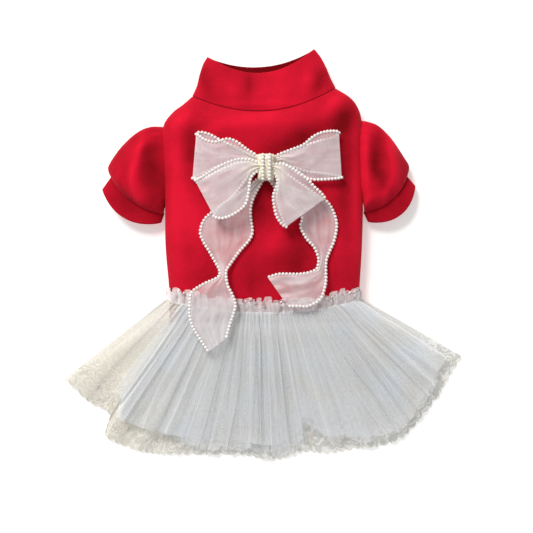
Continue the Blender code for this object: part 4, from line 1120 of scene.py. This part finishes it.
BOW_PARTS = (
    ("loop_upper_left", UPPER_LEFT_LOOP, BOW_REACH, 0.13),
    ("loop_lower_left", LOWER_LEFT_LOOP, BOW_REACH, 0.13),
    ("loop_upper_right", UPPER_RIGHT_LOOP, BOW_REACH, 0.13),
    ("loop_lower_right", LOWER_RIGHT_LOOP, BOW_REACH, 0.13),
    ("left_tail", LEFT_TAIL, TAIL_DROP, 0.165),
    ("right_tail", RIGHT_TAIL, TAIL_DROP, 0.155),
)
for seed, (part, table, reach, length) in enumerate(BOW_PARTS):
    edges = ribbon_edges(table, reach, part.startswith("loop"))
    points = ribbon_points(edges, 1.1 * MM, 70 + seed)
    ribbon = surface(f"bow_{part}_organza", points, ORGANZA)
    mark_edge_on(ribbon)
    away = np.hypot(points[..., 0] - KNOT_X, points[..., 1] - KNOT_Y)
    add_attribute(ribbon, "near_knot", np.exp(-(away / KNOT_GLOW) ** 2))
    dress(ribbon, "organza", f"bow_{part}")
    area = cloth_area(ribbon)
    place = part.replace("loop_", "")
    points, quads = bead_lot(edges, PEARL_SIZE * 0.97)
    pearls = link_mesh(f"pearls_{place}_strings", points, quads, PEARL)
    dress(pearls, "pearl", f"pearls_{place}_first", f"pearls_{place}_second")
    print(part, "ribbon in square metres:", round(area, 5), "bead faces:", len(quads))

# %% [markdown]
# The knot is the same ribbon wound round the middle. A wound band is a closed section with
# creases along the winding, so the section radius carries a few sharp waves.

# %% Knot
KNOT_RISE = 1.10


def make_knot():
    """The knot: rounded sections along Y, narrower in the middle, with pleats along it."""
    rows = smooth_rows([(0.0, 0.55, 0.30), (0.03, 0.80, 0.66), (0.16, 0.90, 0.92), (0.45, 0.78, 1.0),
                        (0.84, 0.94, 0.90), (0.97, 0.84, 0.64), (1.0, 0.60, 0.30)], 60)
    angle = np.linspace(0, 2 * np.pi, 96, endpoint=False)[None, :]
    base = body_top(KNOT_X, KNOT_Y) + 0.3 * MM
    tall = BOW_HEIGHT * KNOT_RISE
    along = rows[:, 0:1]
    twist = 14 * angle + 1.6 * np.sin(2 * np.pi * along) + 2.0 * ripple(along + angle / 9, 2, 5)
    crease = 1 + 0.07 * np.sin(twist)
    x = np.sign(np.cos(angle)) * np.abs(np.cos(angle)) ** 0.7 * rows[:, 1:2] * crease
    z = np.sign(np.sin(angle)) * np.abs(np.sin(angle)) ** 0.75 * rows[:, 2:3] * crease
    points = np.stack([KNOT_X + x * KNOT_WIDTH / 2 * 0.98,
                       KNOT_Y + (along - 0.5 + 0 * angle) * KNOT_LENGTH,
                       base + tall / 2 + z * tall / 2 * 0.98], axis=-1)
    return surface("bow_knot_wrap", points, KNOT_RIBBON, wrap=True)


knot = make_knot()
dress(knot, "organza", "bow_knot")
print("knot wrap in square metres:", round(cloth_area(knot), 5))
knot_routes = []
place = np.linspace(0, 1, 40)
for share in (-0.17, 0.20):
    half = BOW_HEIGHT * KNOT_RISE / 2
    lift = np.interp(place, (0.0, 0.12, 0.35, 0.65, 0.88, 1.0), (0.74, 0.92, 1.0, 1.0, 0.92, 0.74))
    top = body_top(KNOT_X, KNOT_Y) + 0.3 * MM + half + lift * half + PEARL_SIZE / 2
    knot_routes.append(np.stack([np.full(40, KNOT_X + share * KNOT_WIDTH),
                                 KNOT_Y + (place - 0.5) * KNOT_LENGTH, top], axis=1))
points, quads = bead_lot(knot_routes, PEARL_SIZE * 0.97)
knot_pearls = link_mesh("pearls_knot_strings", points, quads, PEARL)
dress(knot_pearls, "pearl", "pearls_knot_first", "pearls_knot_second")

# %% [markdown]
# The floor is plain and pale, and a large soft light stands to the upper left, as in the
# photograph. A low sun angle would throw long shadows, so the light is broad and the sky fills.

# %% Floor and light
floor_material, floor_paint, floor_shader = new_material("pale_floor", {
    "Base Color": (0.96, 0.96, 0.945, 1.0), "Roughness": 0.9, "Specular IOR Level": 0.0,
    "Emission Color": (1.0, 1.0, 0.985, 1.0), "Emission Strength": 0.35})
FLOOR_HALF = 3.0
floor_grid = np.array([[(-FLOOR_HALF, -FLOOR_HALF, 0.0), (FLOOR_HALF, -FLOOR_HALF, 0.0)],
                       [(-FLOOR_HALF, FLOOR_HALF, 0.0), (FLOOR_HALF, FLOOR_HALF, 0.0)]])
floor = surface("floor", floor_grid, floor_material)

world = bpy.data.worlds.new("soft_sky")
world.use_nodes = True
world.node_tree.nodes["Background"].inputs["Color"].default_value = (0.98, 0.99, 1.0, 1.0)
world.node_tree.nodes["Background"].inputs["Strength"].default_value = 0.42
bpy.context.scene.world = world

key_data = bpy.data.lights.new("key_light", "SUN")
key_data.energy = 2.7
key_data.angle = np.radians(24)
key_data.color = (1.0, 0.985, 0.96)
key = bpy.data.objects.new("key_light", key_data)
key.rotation_euler = (np.radians(-38), np.radians(-28), 0.0)
bpy.context.collection.objects.link(key)
bpy.context.scene.view_settings.view_transform = "Standard"
print("floor, sky and key light are set")
